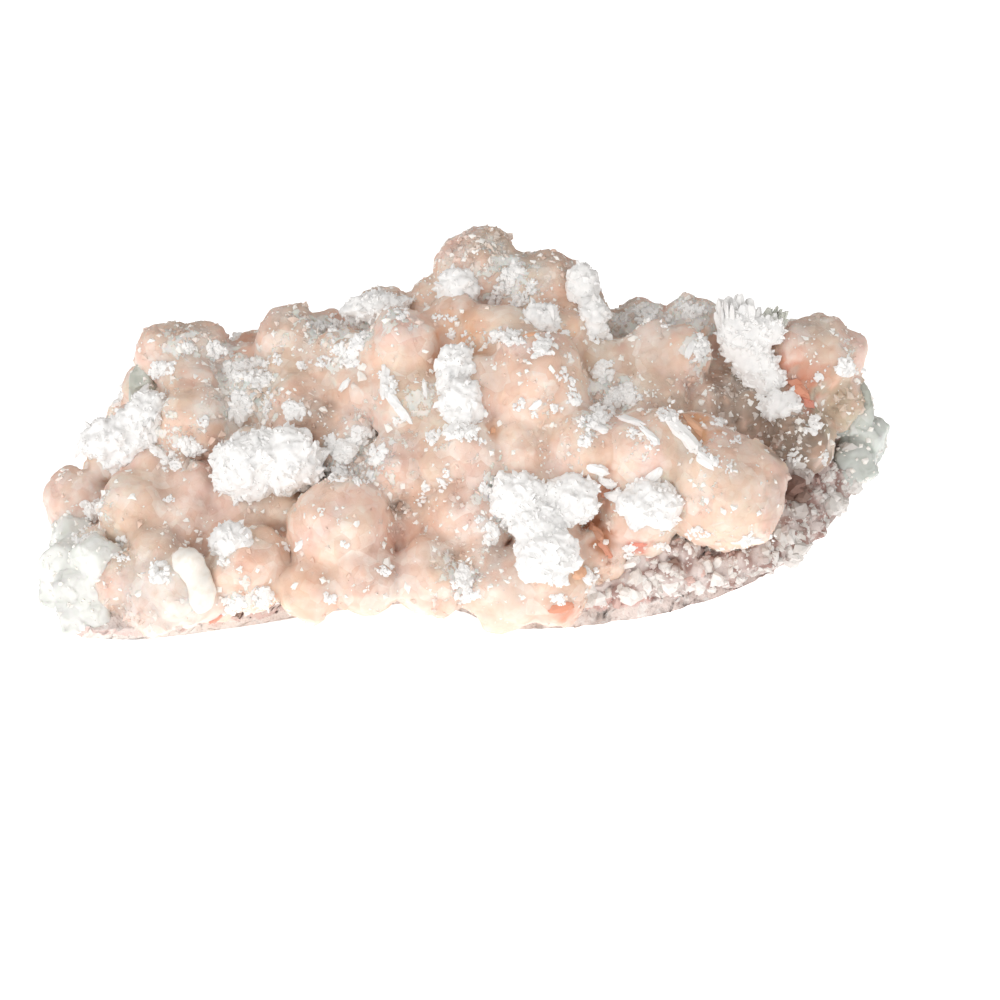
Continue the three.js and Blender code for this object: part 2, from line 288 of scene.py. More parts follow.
def crowd(points, lumps, blend, relief, flat, labels=None):
    """Blended distance to a crowd of lumps [x, y, z, rx, ry, rz], its uphill direction, how deep in a
    crease each point is, and the blend of the lumps' labels.
    One lump's distance is |q| (|q| - reach) / |q / r| with q the place in radii. They are joined as
    -blend * log(sum(exp(-distance / blend))). Each lump only meets the points that it can reach, which
    are found by their order along X."""
    total = np.zeros(len(points))
    slope = np.zeros((len(points), 3))
    wide = np.zeros(len(points))
    nearest = np.full(len(points), 1e3)
    label = np.zeros(len(points))
    order = np.argsort(points[:, 0])
    along = points[order, 0]
    for index, lump in enumerate(lumps):
        reach = np.array(lump[3:]) * 1.2 + NEAR
        start, end = np.searchsorted(along, [lump[0] - reach[0], lump[0] + reach[0]])
        near = order[start:end]
        away = points[near] - lump[:3]
        inside = (np.abs(away) < reach).all(axis=1)
        near = near[inside]
        if not len(near):
            continue
        scaled = away[inside] / lump[3:]
        size = np.maximum(np.linalg.norm(scaled, axis=1), 1e-6)
        steep = scaled / lump[3:]
        steepness = np.maximum(np.linalg.norm(steep, axis=1), 1e-6)
        distance = size * (size - lump_reach(scaled / size[:, None], lump, relief, flat)) / steepness
        held = np.clip(distance, *BOUNDS)
        weight = np.exp(-held / blend)
        total[near] += weight
        slope[near] += weight[:, None] * steep / steepness[:, None]
        broad = np.exp(-held / CREASE)
        wide[near] += broad
        nearest[near] = np.minimum(nearest[near], distance)
        if labels is not None:
            label[near] += broad * labels[index]
    distance = -blend * np.log(np.maximum(total, 1e-9))
    crease = 1 - np.exp(-np.clip(nearest, *BOUNDS) / CREASE) / np.maximum(wide, 1e-9)
    return distance, unit(slope), np.clip(crease, 0, 1), label / np.maximum(wide, 1e-9)

# %% Growing a crowd's surface
def grow(name, lumps, voxel, blend, relief, flat, passes=4, rings=10, around=16):
    """A remeshed crowd whose points have slid onto its exact surface."""
    ways, faces = globe(rings, around), globe_faces(rings, around)
    shells = []
    for lump in lumps:
        reach = lump_reach(ways, lump, relief, flat)
        shells.append((np.array(lump[:3]) + ways * reach[:, None] * lump[3:], faces))
    points, faces = remeshed(name, shells, voxel)
    for _ in range(passes):
        distance, slope, _, _ = crowd(points, lumps, blend, relief, flat)
        points -= np.clip(distance, -voxel, voxel)[:, None] * slope
    return points, faces


def with_buds(lumps, share, size, sunk, seed):
    """The lumps and smaller ones on them: `share` buds each, of about `size` times its radius, on a
    golden spiral over the lump, with their middles `sunk` bud radii below its surface."""
    draw = np.random.default_rng(seed)
    golden = np.pi * (3 - math.sqrt(5))
    made = [list(lump) for lump in lumps]
    for lump in lumps:
        start = draw.uniform(0, 2 * np.pi)
        for step in range(share):
            height = 1 - 2 * (step + 0.5) / share
            turn = start + golden * step
            flat = math.sqrt(1 - height * height)
            way = np.array([flat * math.cos(turn), flat * math.sin(turn), height])
            radius = size * min(lump[3:]) * draw.uniform(0.7, 1.3)
            place = np.array(lump[:3]) + way * (np.array(lump[3:]) - sunk * radius)
            made.append([*place, radius, radius, radius])
    return made

# %% [markdown]
# ## Stilbite
# Each head is a sheaf of blades opened out into a ball, silky and slightly see-through, peach to cream,
# with iron stains in the creases. Its tables are the ones the solids were made from, so that the fine
# surface stays on its solid, plus small heads that were too many for it.

# %% Where the heads are
# Each head is [x, y, z, radius], and each lump of the heart inside them is [x, y, z, rx, ry, rz].
RIDGE = [
    [-48.6, 2, 41.2, 5.4], [-43.3, 4, 41.6, 5.0], [-37, 4, 38.4, 4.5], [-28.4, 2, 43.4, 5.9],
    [-23.2, 6, 43.4, 4.6], [-12.8, 5, 46.3, 6.0], [2.6, 5, 54.6, 7.3], [14.1, 3, 49.9, 7.9],
    [29.5, 8, 45.0, 4.7], [38.6, 7, 45.0, 5.3], [46.5, 8, 41.0, 5.6], [58.7, 2, 40.0, 7.8],
    [61.6, 0, 33.4, 4.7],
]
UPPER = [
    [-43.3, -6, 31.0, 6.6], [-44.6, -2, 36.6, 4.8], [-34, -3, 35.0, 4.6], [-26.4, -6, 32.6, 6.6],
    [-15.7, -7, 36.8, 5.4], [-9.7, -6, 42.4, 7.4], [-8, -11, 35.0, 6.3], [-1.1, -3, 46.6, 5.6],
    [6.2, -7, 44.3, 6.5], [11.8, -12, 38.1, 9.0], [3, -12, 37.0, 7.0], [16, -3, 44.8, 6.5],
    [24.9, -4, 39.4, 5.2], [30.9, -4, 42.2, 5.4], [35.6, -5, 42.2, 5.0], [30.5, -8, 34.3, 6.0],
    [39.7, -4, 33.1, 5.8], [47.2, -2, 32.2, 5.6],
]
MIDDLE = [
    [-52.7, -4, 29.0, 5.0], [-57.4, -4, 25.4, 4.0], [-62.9, -6, 18.0, 5.6], [-52.5, -14, 18.2, 6.1],
    [-43.4, -12, 21.4, 5.0], [-35.7, -13, 18.0, 5.5], [-32.2, -11, 25.0, 6.8], [-19.2, -20, 16.8, 8.4],
    [-18.8, -11, 25.8, 5.0], [-9.5, -15, 25.6, 6.2], [-0.2, -17, 28.1, 7.4], [9.4, -16, 27.9, 6.8],
    [1.4, -19, 19.0, 6.8], [13.4, -18, 20.6, 7.0], [20.5, -17, 28.9, 7.0], [29.2, -18, 28.5, 7.3],
    [36.5, -16, 28.8, 6.4], [42.3, -20, 22.7, 9.6], [28.4, -19, 18.6, 6.4], [55.1, -6, 28.5, 5.6],
]
LOWER = [
    [-60, -13, 10.6, 5.2], [-54.1, -20, 8.0, 5.5], [-45.3, -23, 7.6, 6.4], [-33.6, -21, 10.4, 6.7],
    [-39.5, -21, 6.6, 4.6], [-23.9, -24, 7.4, 4.7], [-15.1, -24, 9.6, 5.6], [-4.9, -23, 9.6, 6.3],
    [7, -23, 7.4, 6.6], [14.1, -22, 10.6, 7.0], [21.8, -20.5, 12.6, 4.6],
]
SMALL = [
    [-53, 5, 35.5, 3.6], [-4.8, 4, 48.6, 4.8], [18.8, 5, 46.6, 5.8], [24.8, 6, 43.8, 4.5],
    [-19, -9, 29.7, 5.2], [53.5, -3, 34.2, 4.4], [-50.7, -8, 23.6, 4.6], [-28.6, -12, 17.8, 5.2],
    [-7.4, -16, 15.9, 5.2], [21.4, -16, 20.4, 5.2], [-49.3, -24, 4.6, 4.2], [1.4, -21, 12.1, 4.8],
    [-45.0, -15, 17.2, 4.6], [-39.2, -14, 15.6, 4.4], [22.2, -9, 34.6, 4.8], [-48.6, -20, 12.4, 4.4],
    [-22.5, -2.5, 39.6, 5.0], [-27.5, -1.5, 38.6, 4.8], [-19.0, -3.5, 42.0, 4.4], [22.6, -6, 40.6, 4.4],
    [55.6, 0, 41.8, 5.8], [15.5, -24, 6.2, 4.4], [10.2, 4, 53.2, 4.6],
]
BACK = [
    [-46, 12, 32, 11], [-26, 17, 34, 11.5], [-4, 18, 38, 12], [16, 18, 38, 12], [36, 17, 34, 11],
    [54, 12, 31, 9.5], [-55, 12, 18, 10], [-38, 24, 17, 12], [-16, 26, 19, 12.5], [6, 27, 20, 13],
    [28, 25, 20, 12], [46, 19, 22, 10.5],
]
BACK_SMALL = [
    [-36, 18.5, 36.5, 6.0], [-15, 21.5, 38.5, 6.5], [6.5, 22, 42, 6.6], [26, 22, 39, 5.6],
    [45.5, 18, 35, 5.4], [-34, 24, 26.5, 6.2], [-13, 27, 30, 6.8], [4, 28.5, 33, 6.0], [26, 27, 31.5, 6.8],
    [44, 23, 29, 5.6], [-27, 30, 12.5, 6.0], [-6, 31, 15, 7.0], [17.5, 31.5, 24, 5.8],
    [37.5, 27.5, 17, 6.2], [-48.5, 21, 14.5, 6.0], [-56, 14, 27.5, 5.0], [-46, 21, 26, 4.6],
    [56.5, 15, 22.5, 5.0], [-24, 27, 27, 4.6], [14, 25, 29, 5.0], [-4, 12, 47.5, 5.4], [15, 12.5, 47, 5.2],
    [33, 14, 43, 4.8], [-28, 12, 42.5, 5.0],
]
HEART = [
    [0, 7, 22, 57, 18, 19], [7, 5, 41, 17, 9, 11], [44, 4, 30, 17, 11, 11], [-39, 4, 27, 18, 11, 12],
    [-46, -4, 12, 16, 14, 10],
]
front_heads = [[x, y, z, r, r, r] for x, y, z, r in RIDGE + UPPER + MIDDLE + LOWER + SMALL]
back_heads = [[x, y, z, r, r, r] for x, y, z, r in BACK + BACK_SMALL]
print("heads in front:", len(front_heads), "behind:", len(back_heads))

# %% The grown mass
BALL_RELIEF = 0.055
BALL_FLAT = 0.98
BALL_BLEND = 0.6
LOWEST = 0.3  # how far the lowest stilbite hangs above the shelf
STILBITE_VOXEL = 0.73
heads = with_buds(front_heads + back_heads, share=9, size=0.36, sunk=0.84, seed=11)
heads += [list(lump) for lump in HEART]
mass, mass_faces = grow("stilbite", heads, STILBITE_VOXEL, BALL_BLEND, BALL_RELIEF, BALL_FLAT)
head_tone = np.random.default_rng(21).uniform(-1, 1, len(heads))
_, mass_out, crease, tone = crowd(mass, heads, BALL_BLEND, BALL_RELIEF, BALL_FLAT, head_tone)
print("stilbite: heads and buds:", len(heads), "triangles:", len(mass_faces))

# %% [markdown]
# ## Crumbly places
# Most of a head is smooth and silky. On the tops, along the right ridge and over the plate its crust is
# crumbly instead, broken into small planes. A list says where, and slow waves choose the places behind.
# The planes are cut out of the surface in two sizes, deeper where it is crumbly.

# %% Where the camera sees the stilbite
def seen_at(across, down):
    """Where the camera sees the stilbite through a pixel: place and outward direction, or nothing."""
    place, out, _, _ = tree.ray_cast(Vector(eye), Vector(sight(across, down)))
    return None if place is None else (np.array(place), np.array(out))


def patch(points, across, down, radius, rag):
    """How deep in a round patch each point lies, 0 to 1: the patch is centred on what is seen through a
    pixel, and `rag` moves its edge in and out."""
    found = seen_at(across, down)
    if found is None:
        print("patch beside the stilbite:", across, down)
        return np.zeros(len(points))
    far = np.linalg.norm(points - found[0], axis=1) / radius
    return 1 - fade(0.35, 1.25, far + rag)

# %% Where it is crumbly
# [pixels across, pixels down, radius in mm, amount], seen in a picture of 1000 x 1000 pixels.
CRUMBLY = [
    (488, 238, 9, 0.9), (560, 266, 8, 0.6), (300, 314, 6, 0.6), (180, 326, 8, 0.6), (380, 302, 6, 0.8),
    (622, 312, 6, 0.9), (690, 306, 5, 0.8), (742, 388, 6, 0.9), (780, 430, 7, 0.9), (700, 396, 7, 0.6),
    (640, 390, 6, 0.5), (600, 402, 5, 0.6), (850, 400, 6, 0.8), (640, 560, 9, 0.9), (590, 592, 6, 0.7),
    (800, 500, 8, 1.0), (250, 396, 7, 0.9), (215, 350, 5, 0.7), (300, 402, 5, 0.5), (440, 490, 5, 0.7),
    (400, 512, 4, 0.8), (352, 470, 6, 0.8), (500, 502, 6, 0.8), (90, 600, 8, 0.8), (130, 628, 8, 0.7),
    (240, 600, 5, 0.5), (100, 530, 6, 0.6), (560, 440, 5, 0.5), (520, 300, 5, 0.5), (460, 560, 6, 0.6),
    (190, 450, 5, 0.6), (330, 345, 6, 0.5),
]
print("crumbly places:", len(CRUMBLY))

# %% Breaking the surface
BEHIND = (4, 14)  # along Y, where waves take over from the hand-placed lists
COARSE_PLANES, FINE_PLANES = 3.4, 1.5  # sizes of the broken planes
COARSE_DEPTH, FINE_DEPTH = 0.17, 0.16  # their heights; the coarse ones' doubles where it is crumbly
LET_IN = 0.25  # the broken surface is let in by this, so that it stays in its solid
tree = BVHTree.FromPolygons(mass.tolist(), mass_faces.tolist())
edge_rag = 0.3 * waves(mass, 3.0, 43) + 0.15 * waves(mass, 1.6, 44)
# Upward faces high up count as a little crumbly, and through the taupe tone this darkens the tops as painted
# shade.
crumbly = 0.15 * fade(0.55, 0.95, mass_out[:, 2]) * fade(20, 40, mass[:, 2])
for across, down, radius, amount in CRUMBLY:
    crumbly = np.maximum(crumbly, amount * patch(mass, across, down, radius, edge_rag))
behind = fade(*BEHIND, mass[:, 1])
crumbly = np.maximum(crumbly, 0.8 * behind * fade(0.5, 1.3, waves(mass, 11, 45)))
height = (COARSE_DEPTH + COARSE_DEPTH * crumbly) * broken(mass, COARSE_PLANES, 31)
height = height + FINE_DEPTH * crumbly * broken(mass, FINE_PLANES, 33)
height += 0.22 * waves(mass, 7, 32) + 0.05 * waves(mass, 2.2, 34) - LET_IN
mass += height[:, None] * mass_out
mass[:, 2] = np.maximum(mass[:, 2], LOWEST)
tree = BVHTree.FromPolygons(mass.tolist(), mass_faces.tolist())
stilbite = write_mesh("stilbite_heads", mass, mass_faces)
print("broken heights from", height.min().round(2), "to", height.max().round(2), "mm")

# %% [markdown]
# ## The colour of the stilbite
# A head is peach where it is thick, pink or cream where it is thin, and iron has stained it orange to
# rust where water stood in the creases. The broad tones are one colour per point: a slow drift between
# peach, pink and cream, each head a little lighter or darker, and then listed stains, each a soft
# patch round the place where it is seen. Behind, where no stain is placed, waves pick the wet creases and
# the pale heads. Four numbers per point tell the finish how deep in a crease, how crumbly and how
# stained a point is, and how much thin white crust lies on it.
# Some of the listed patches are not stains but painted shade: in the recess and gaps right of the big head,
# on its shaded right side, on a head in shadow on the left and on the tops of the heads. The pale patches at
# the lower left are partly painted light. The stained number counts the deep painted shade too.

# %% The palette
# Painted shade: the shade tone is only that; bark is painted shade in the gaps beside the big head and also
# one dark spot on the left; umber and taupe serve brown and dull stains and also painted shade.
PALETTE = {
    "peach": (0.87, 0.61, 0.48),
    "pink": (0.85, 0.60, 0.52),
    "cream": (0.88, 0.71, 0.56),
    "beige": (0.76, 0.62, 0.51),
    "amber": (0.82, 0.42, 0.22),
    "rust": (0.70, 0.20, 0.09),
    "scarlet": (0.68, 0.12, 0.07),
    "ochre": (0.52, 0.17, 0.06),
    "umber": (0.38, 0.26, 0.20),
    "bark": (0.18, 0.10, 0.07),
    "shade": (0.30, 0.22, 0.165),
    "taupe": (0.50, 0.42, 0.35),
    "olive": (0.58, 0.52, 0.38),
    "green": (0.74, 0.80, 0.68),
    "chalk": (0.92, 0.88, 0.84),
}
# Pale plates stay out of these deep tones, which serve stains and also painted shade.
DEEP_TONES = ("amber", "rust", "scarlet", "ochre", "umber", "bark", "shade", "olive")
HEAD_DRIFT = 0.08  # how much lighter or darker one head is than the next
PALEST = 0.95  # no channel of a tone goes over this


def blended(colours, tone, amount):
    """Colours moved towards a tone of the palette by an amount for each point."""
    return colours + np.clip(amount, 0, 1)[:, None] * (np.array(PALETTE[tone]) - colours)


print("tones:", len(PALETTE))

# %% Where the stains, the painted shade and the painted light are
# [tone, pixels across, pixels down, radius in mm, strength].
# Painted shade among these: shade and bark from 715 to 805 across, umber at 300, 326 and 779 across, and
# taupe on the tops of the heads. Chalk and cream from 110 to 190 across at the lower left are partly painted
# light.
STAINS_AND_PAINTED_SHADING = [
    ("amber", 472, 336, 6.0, 0.80), ("amber", 436, 372, 3.5, 0.45), ("rust", 538, 343, 1.4, 0.7),
    ("rust", 586, 338, 2.0, 0.6), ("amber", 598, 352, 2.5, 0.5), ("rust", 590, 392, 2.5, 0.4),
    ("amber", 560, 300, 3.0, 0.3), ("amber", 527, 334, 1.8, 0.60), ("amber", 573, 328, 2.0, 0.60),
    ("amber", 562, 268, 2.2, 0.45), ("taupe", 500, 246, 7.0, 0.50), ("umber", 600, 290, 4.0, 0.45),
    ("rust", 797, 378, 5.0, 1.00), ("scarlet", 808, 400, 4.6, 1.00), ("rust", 812, 384, 5.4, 0.80),
    ("amber", 842, 386, 5.0, 0.40), ("amber", 694, 420, 3.0, 1.00), ("amber", 702, 434, 2.6, 1.00),
    ("amber", 680, 425, 2.5, 0.40), ("rust", 600, 492, 2.4, 0.60), ("rust", 606, 470, 1.8, 0.55),
    ("ochre", 590, 518, 2.6, 1.00), ("ochre", 603, 543, 2.6, 1.00), ("amber", 577, 570, 2.8, 0.60),
    ("rust", 566, 618, 2.6, 0.70), ("scarlet", 640, 547, 2.2, 0.70), ("rust", 190, 378, 3.0, 0.40),
    ("rust", 200, 362, 2.4, 0.50), ("amber", 310, 575, 3.2, 0.40), ("scarlet", 216, 618, 1.4, 0.95),
    ("rust", 118, 552, 2.8, 0.40), ("rust", 243, 555, 3.0, 0.30), ("umber", 300, 416, 5.0, 0.48),
    ("umber", 326, 420, 4.2, 0.42), ("bark", 195, 457, 2.0, 1.00), ("umber", 265, 512, 5.0, 0.22),
    ("umber", 398, 508, 2.4, 0.95), ("rust", 402, 530, 3.4, 0.35), ("umber", 452, 557, 1.8, 0.80),
    ("umber", 490, 560, 2.4, 0.50), ("umber", 779, 500, 5.0, 0.55), ("shade", 790, 470, 4.6, 0.90),
    ("bark", 795, 478, 2.8, 0.90), ("bark", 777, 456, 2.0, 0.85), ("shade", 750, 402, 7.0, 0.75),
    ("bark", 715, 382, 3.0, 0.80), ("shade", 805, 436, 9.5, 1.00), ("shade", 775, 412, 6.0, 0.85),
    ("olive", 840, 408, 6.0, 0.80), ("bark", 745, 384, 3.0, 0.70), ("umber", 660, 400, 5.0, 0.36),
    ("umber", 705, 412, 5.0, 0.40), ("olive", 430, 470, 4.0, 0.25), ("olive", 673, 470, 2.2, 0.45),
    ("umber", 690, 439, 1.6, 0.40), ("beige", 680, 452, 2.2, 0.60), ("cream", 665, 352, 6.0, 0.45),
    ("chalk", 630, 322, 6.0, 0.50), ("chalk", 228, 410, 5.0, 0.50), ("green", 667, 492, 3.4, 0.70),
    ("green", 250, 395, 6.0, 0.55), ("chalk", 240, 372, 5.0, 0.45), ("green", 116, 480, 2.4, 0.50),
    ("green", 140, 382, 4.0, 0.50), ("green", 62, 560, 7.0, 0.60), ("chalk", 150, 605, 10.0, 0.70),
    ("chalk", 190, 625, 8.0, 0.60), ("cream", 110, 535, 9.0, 0.55), ("beige", 80, 480, 7.0, 0.40),
    ("cream", 170, 530, 10.0, 0.60), ("chalk", 205, 357, 6.0, 0.45), ("cream", 610, 365, 6.0, 0.60),
    ("cream", 745, 540, 5.5, 0.60), ("cream", 720, 500, 8.0, 0.30), ("cream", 415, 395, 6.0, 0.80),
    ("cream", 515, 450, 6.0, 0.50), ("cream", 330, 345, 6.0, 0.50), ("cream", 520, 600, 6.0, 0.35),
    ("chalk", 400, 600, 8.0, 0.30), ("chalk", 500, 610, 8.0, 0.30), ("cream", 600, 450, 6.0, 0.40),
    ("pink", 200, 510, 8.0, 0.50), ("pink", 380, 570, 8.0, 0.35), ("pink", 470, 470, 9.0, 0.45),
    ("pink", 80, 500, 6.0, 0.45), ("chalk", 690, 310, 6.0, 0.80), ("chalk", 648, 316, 4.0, 0.60),
    ("chalk", 560, 260, 4.0, 0.20), ("chalk", 500, 318, 5.0, 0.30), ("chalk", 370, 300, 6.0, 0.25),
    ("beige", 180, 345, 7.0, 0.45), ("beige", 290, 330, 6.0, 0.35), ("beige", 650, 350, 6.0, 0.40),
    ("beige", 820, 345, 7.0, 0.40), ("beige", 760, 480, 7.0, 0.30), ("beige", 620, 340, 6.0, 0.35),
    ("beige", 135, 500, 6.0, 0.30), ("beige", 330, 490, 5.0, 0.25), ("taupe", 380, 296, 5.0, 0.45),
    ("taupe", 628, 303, 3.0, 0.55), ("taupe", 180, 324, 5.0, 0.35), ("taupe", 545, 258, 5.0, 0.40),
    ("chalk", 508, 280, 5.0, 0.45), ("chalk", 318, 328, 5.0, 0.55), ("cream", 525, 322, 6.0, 0.60),
    ("chalk", 228, 395, 7.0, 0.50), ("chalk", 105, 475, 5.0, 0.40), ("chalk", 352, 350, 5.0, 0.45),
    ("chalk", 610, 403, 6.0, 0.50), ("chalk", 370, 446, 7.0, 0.45), ("chalk", 492, 535, 5.0, 0.50),
    ("chalk", 610, 330, 5.0, 0.40), ("cream", 590, 360, 7.0, 0.60), ("chalk", 330, 475, 6.0, 0.40),
    ("cream", 270, 520, 7.0, 0.50), ("amber", 492, 430, 1.6, 0.70), ("rust", 605, 493, 2.2, 0.60),
    ("chalk", 655, 322, 6.0, 0.50), ("taupe", 296, 312, 5.0, 0.30), ("taupe", 825, 320, 5.0, 0.30),
]
print("stains:", len(STAINS_AND_PAINTED_SHADING))

# %% Where thin white crusts are
# [pixels across, pixels down, radius in mm, amount].
FROST = [
    (628, 322, 5, 0.8), (690, 309, 6, 1.0), (648, 315, 4, 1.0), (701, 348, 4, 1.0), (352, 350, 5, 0.8),
    (508, 280, 5, 0.8), (318, 328, 5, 0.8), (240, 372, 5, 1.0), (250, 395, 6, 1.0), (225, 352, 4, 0.7),
    (262, 410, 4, 0.7), (180, 345, 4, 0.8), (370, 305, 5, 0.9), (340, 335, 4, 0.7), (392, 318, 4, 0.7),
    (585, 285, 4, 0.7), (612, 395, 5, 0.8), (598, 420, 4, 0.6), (455, 575, 5, 0.7), (495, 490, 5, 0.8),
    (510, 520, 4, 0.6), (250, 600, 4, 0.8), (420, 400, 4, 0.7), (405, 440, 4, 0.5), (470, 440, 4, 0.4),
    (560, 320, 3, 0.4), (640, 455, 3, 0.5), (700, 330, 3, 0.5), (850, 350, 3, 0.5), (100, 505, 4, 0.6),
    (125, 545, 3, 0.5), (345, 460, 6, 0.6), (380, 470, 5, 0.6), (330, 420, 4, 0.4), (170, 440, 5, 0.7),
    (200, 600, 4, 0.4), (560, 440, 5, 0.3), (500, 300, 4, 0.5), (530, 290, 4, 0.5),
]
print("thin white crusts:", len(FROST))

# %% The colour of each point
colour = np.tile(PALETTE["peach"], (len(mass), 1))
colour = blended(colour, "pink", fade(-0.5, 0.9, waves(mass, 17, 41)))
colour = blended(colour, "cream", 0.75 * fade(-0.1, 1.1, waves(mass, 13, 42)))
stained = np.zeros(len(mass))
# Real stains and painted shade and light are blended in alike; stained counts the deep tones of both.
for stain, across, down, radius, strength in STAINS_AND_PAINTED_SHADING:
    amount = strength * patch(mass, across, down, radius, edge_rag)
    colour = blended(colour, stain, amount)
    stained = np.where(stain in DEEP_TONES, np.maximum(stained, amount), stained * (1 - amount))
water = behind * fade(0.15, 0.6, crease)
colour = blended(colour, "rust", 0.8 * water * fade(0.5, 1.4, waves(mass, 14, 47)))
colour = blended(colour, "umber", 0.6 * water * fade(0.3, 1.2, waves(mass, 12, 48)))
colour = blended(colour, "chalk", 0.6 * behind * fade(0.4, 1.4, waves(mass, 10, 49)))
colour = blended(colour, "beige", 0.5 * behind * fade(0.3, 1.2, waves(mass, 15, 50)))
# Painted shade: every crease is pulled towards umber.
colour = blended(colour, "umber", 0.25 * fade(0.35, 0.75, crease))
# Taupe where it is crumbly: the crust's own duller tone, and on the tops, which are crumbly too, also painted
# shade.
colour = blended(colour, "taupe", 0.18 * crumbly)
colour *= (1 + HEAD_DRIFT * tone)[:, None]
add_colour(stilbite, "tone", np.clip(colour, 0, PALEST))
print("stilbite tones from", colour.min().round(2), "to", colour.max().round(2))

# %% Creases, crumbly places, stains with painted shade, and crusts as numbers
add_number(stilbite, "crease", crease)
add_number(stilbite, "crumbly", crumbly)
add_number(stilbite, "stained", stained)
frost = (0.45 + 0.5 * behind) * fade(0.2, 1.3, waves(mass, 8, 46))
for across, down, radius, amount in FROST:
    frost = np.maximum(frost, amount * patch(mass, across, down, radius, edge_rag))
add_number(stilbite, "frost", frost)
print("white crust over", round(100 * (frost > 0.5).mean()), "% of the points")

# %% [markdown]
# ## Small crystals
# Thousands of small crystals make the crust. Each is a block with few faces, jittered so that no two are
# alike, half sunk in the surface. The first ones are stilbite itself: the ends of blades, in the tone of
# the head that they grow on, crowded where it is crumbly.

# %% Small crystals
BLOCK = (2, 4)  # circles and steps of a block's globe: 16 triangles
CHIP = (1, 4)  # 8 triangles
NUGGET = (3, 6)  # 36 triangles
SLIVER = (5, 8)  # 80 triangles
JITTER = (0.72, 1.28)  # how far in and out a crystal's corners move
LEAN = 0.55  # how much its pole leans


def grains(places, outs, sizes, stretch, seed, sink=0.25, kind=BLOCK):
    """Many small crystals as one surface: each one's corners are jittered by a quarter, its pole leans
    from the outward direction by a random amount, and its length is its size times the stretch. It is
    sunk by a share of its size, and nothing reaches below the shelf."""
    draw = np.random.default_rng(seed)
    ways, faces = globe(*kind), globe_faces(*kind)
    count = len(places)
    shape = ways[None] * draw.uniform(*JITTER, (count, len(ways), 1))
    wide = draw.uniform(0.6, 1.2, count)
    deep = draw.uniform(0.6, 1.2, count)
    tall = stretch * draw.uniform(0.7, 1.3, count)
    shape *= sizes[:, None, None] * np.stack([wide, deep, tall], -1)[:, None]
    pole = unit(outs + LEAN * draw.normal(size=(count, 3)))
    side = unit(np.cross(pole, draw.normal(size=(count, 3))))
    frames = np.stack([side, np.cross(pole, side), pole], 1)
    points = places[:, None] - sink * sizes[:, None, None] * outs[:, None] + shape @ frames
    points[..., 2] = np.maximum(points[..., 2], 0)
    corners = faces[None] + (np.arange(count) * len(ways))[:, None, None]
    return points.reshape(-1, 3), corners.reshape(-1, 3)


def scatter(points, faces, count, draw, weight=1.0):
    """Places spread over a surface by area times a weight for each face, their outward directions and
    their faces. A place in a face comes from two random numbers, folded over the diagonal."""
    a, b, c = (points[faces[:, k]] for k in range(3))
    outs = np.cross(b - a, c - a)
    share = np.linalg.norm(outs, axis=1) * weight
    pick = draw.choice(len(faces), count, p=share / share.sum())
    u, v = draw.uniform(size=(2, count, 1))
    u, v = np.where(u + v > 1, 1 - u, u), np.where(u + v > 1, 1 - v, v)
    return a[pick] + u * (b - a)[pick] + v * (c - a)[pick], unit(outs[pick]), pick


def of_faces(values, faces):
    """A value per point as one per face."""
    return values[faces].mean(axis=1)

# %% Stilbite crumbs
CRUMBS = 5000
CRUMBS_ABOVE = 1.5  # mm over the floor
crumb_draw = np.random.default_rng(51)
crumb_weight = (0.05 + of_faces(crumbly, mass_faces) ** 2) * (mass[mass_faces[:, 0], 2] > CRUMBS_ABOVE)
places, outs, pick = scatter(mass, mass_faces, CRUMBS, crumb_draw, crumb_weight)
crumb_sizes = 0.28 + 0.62 * crumb_draw.power(0.6, CRUMBS)
crumb_points, crumb_faces = grains(places, outs, crumb_sizes, 1.1, 52, sink=0.6)
crumb_tone = colour[mass_faces[pick, 0]] * crumb_draw.uniform(0.9, 1.1, (CRUMBS, 1))
paler = crumb_draw.uniform(0, 1, CRUMBS) ** 3 * 0.8
crumb_tone = blended(crumb_tone, "chalk", paler)
crumbs = write_mesh("stilbite_crumbs", crumb_points, crumb_faces, smooth=False)
add_colour(crumbs, "tone", np.repeat(np.clip(crumb_tone, 0, PALEST), len(globe(*BLOCK)), axis=0))
print("stilbite crumbs:", CRUMBS, "triangles:", len(crumb_faces))

# %% [markdown]
# ## Chalky white clumps
# The white mineral sits on the stilbite like wet snow: soft lumps with stubby points and loose crystals
# at their rims. Each clump is a crowd of lumps grown in the way of the heads, with more relief, under a
# thin crust of blocky crystals.

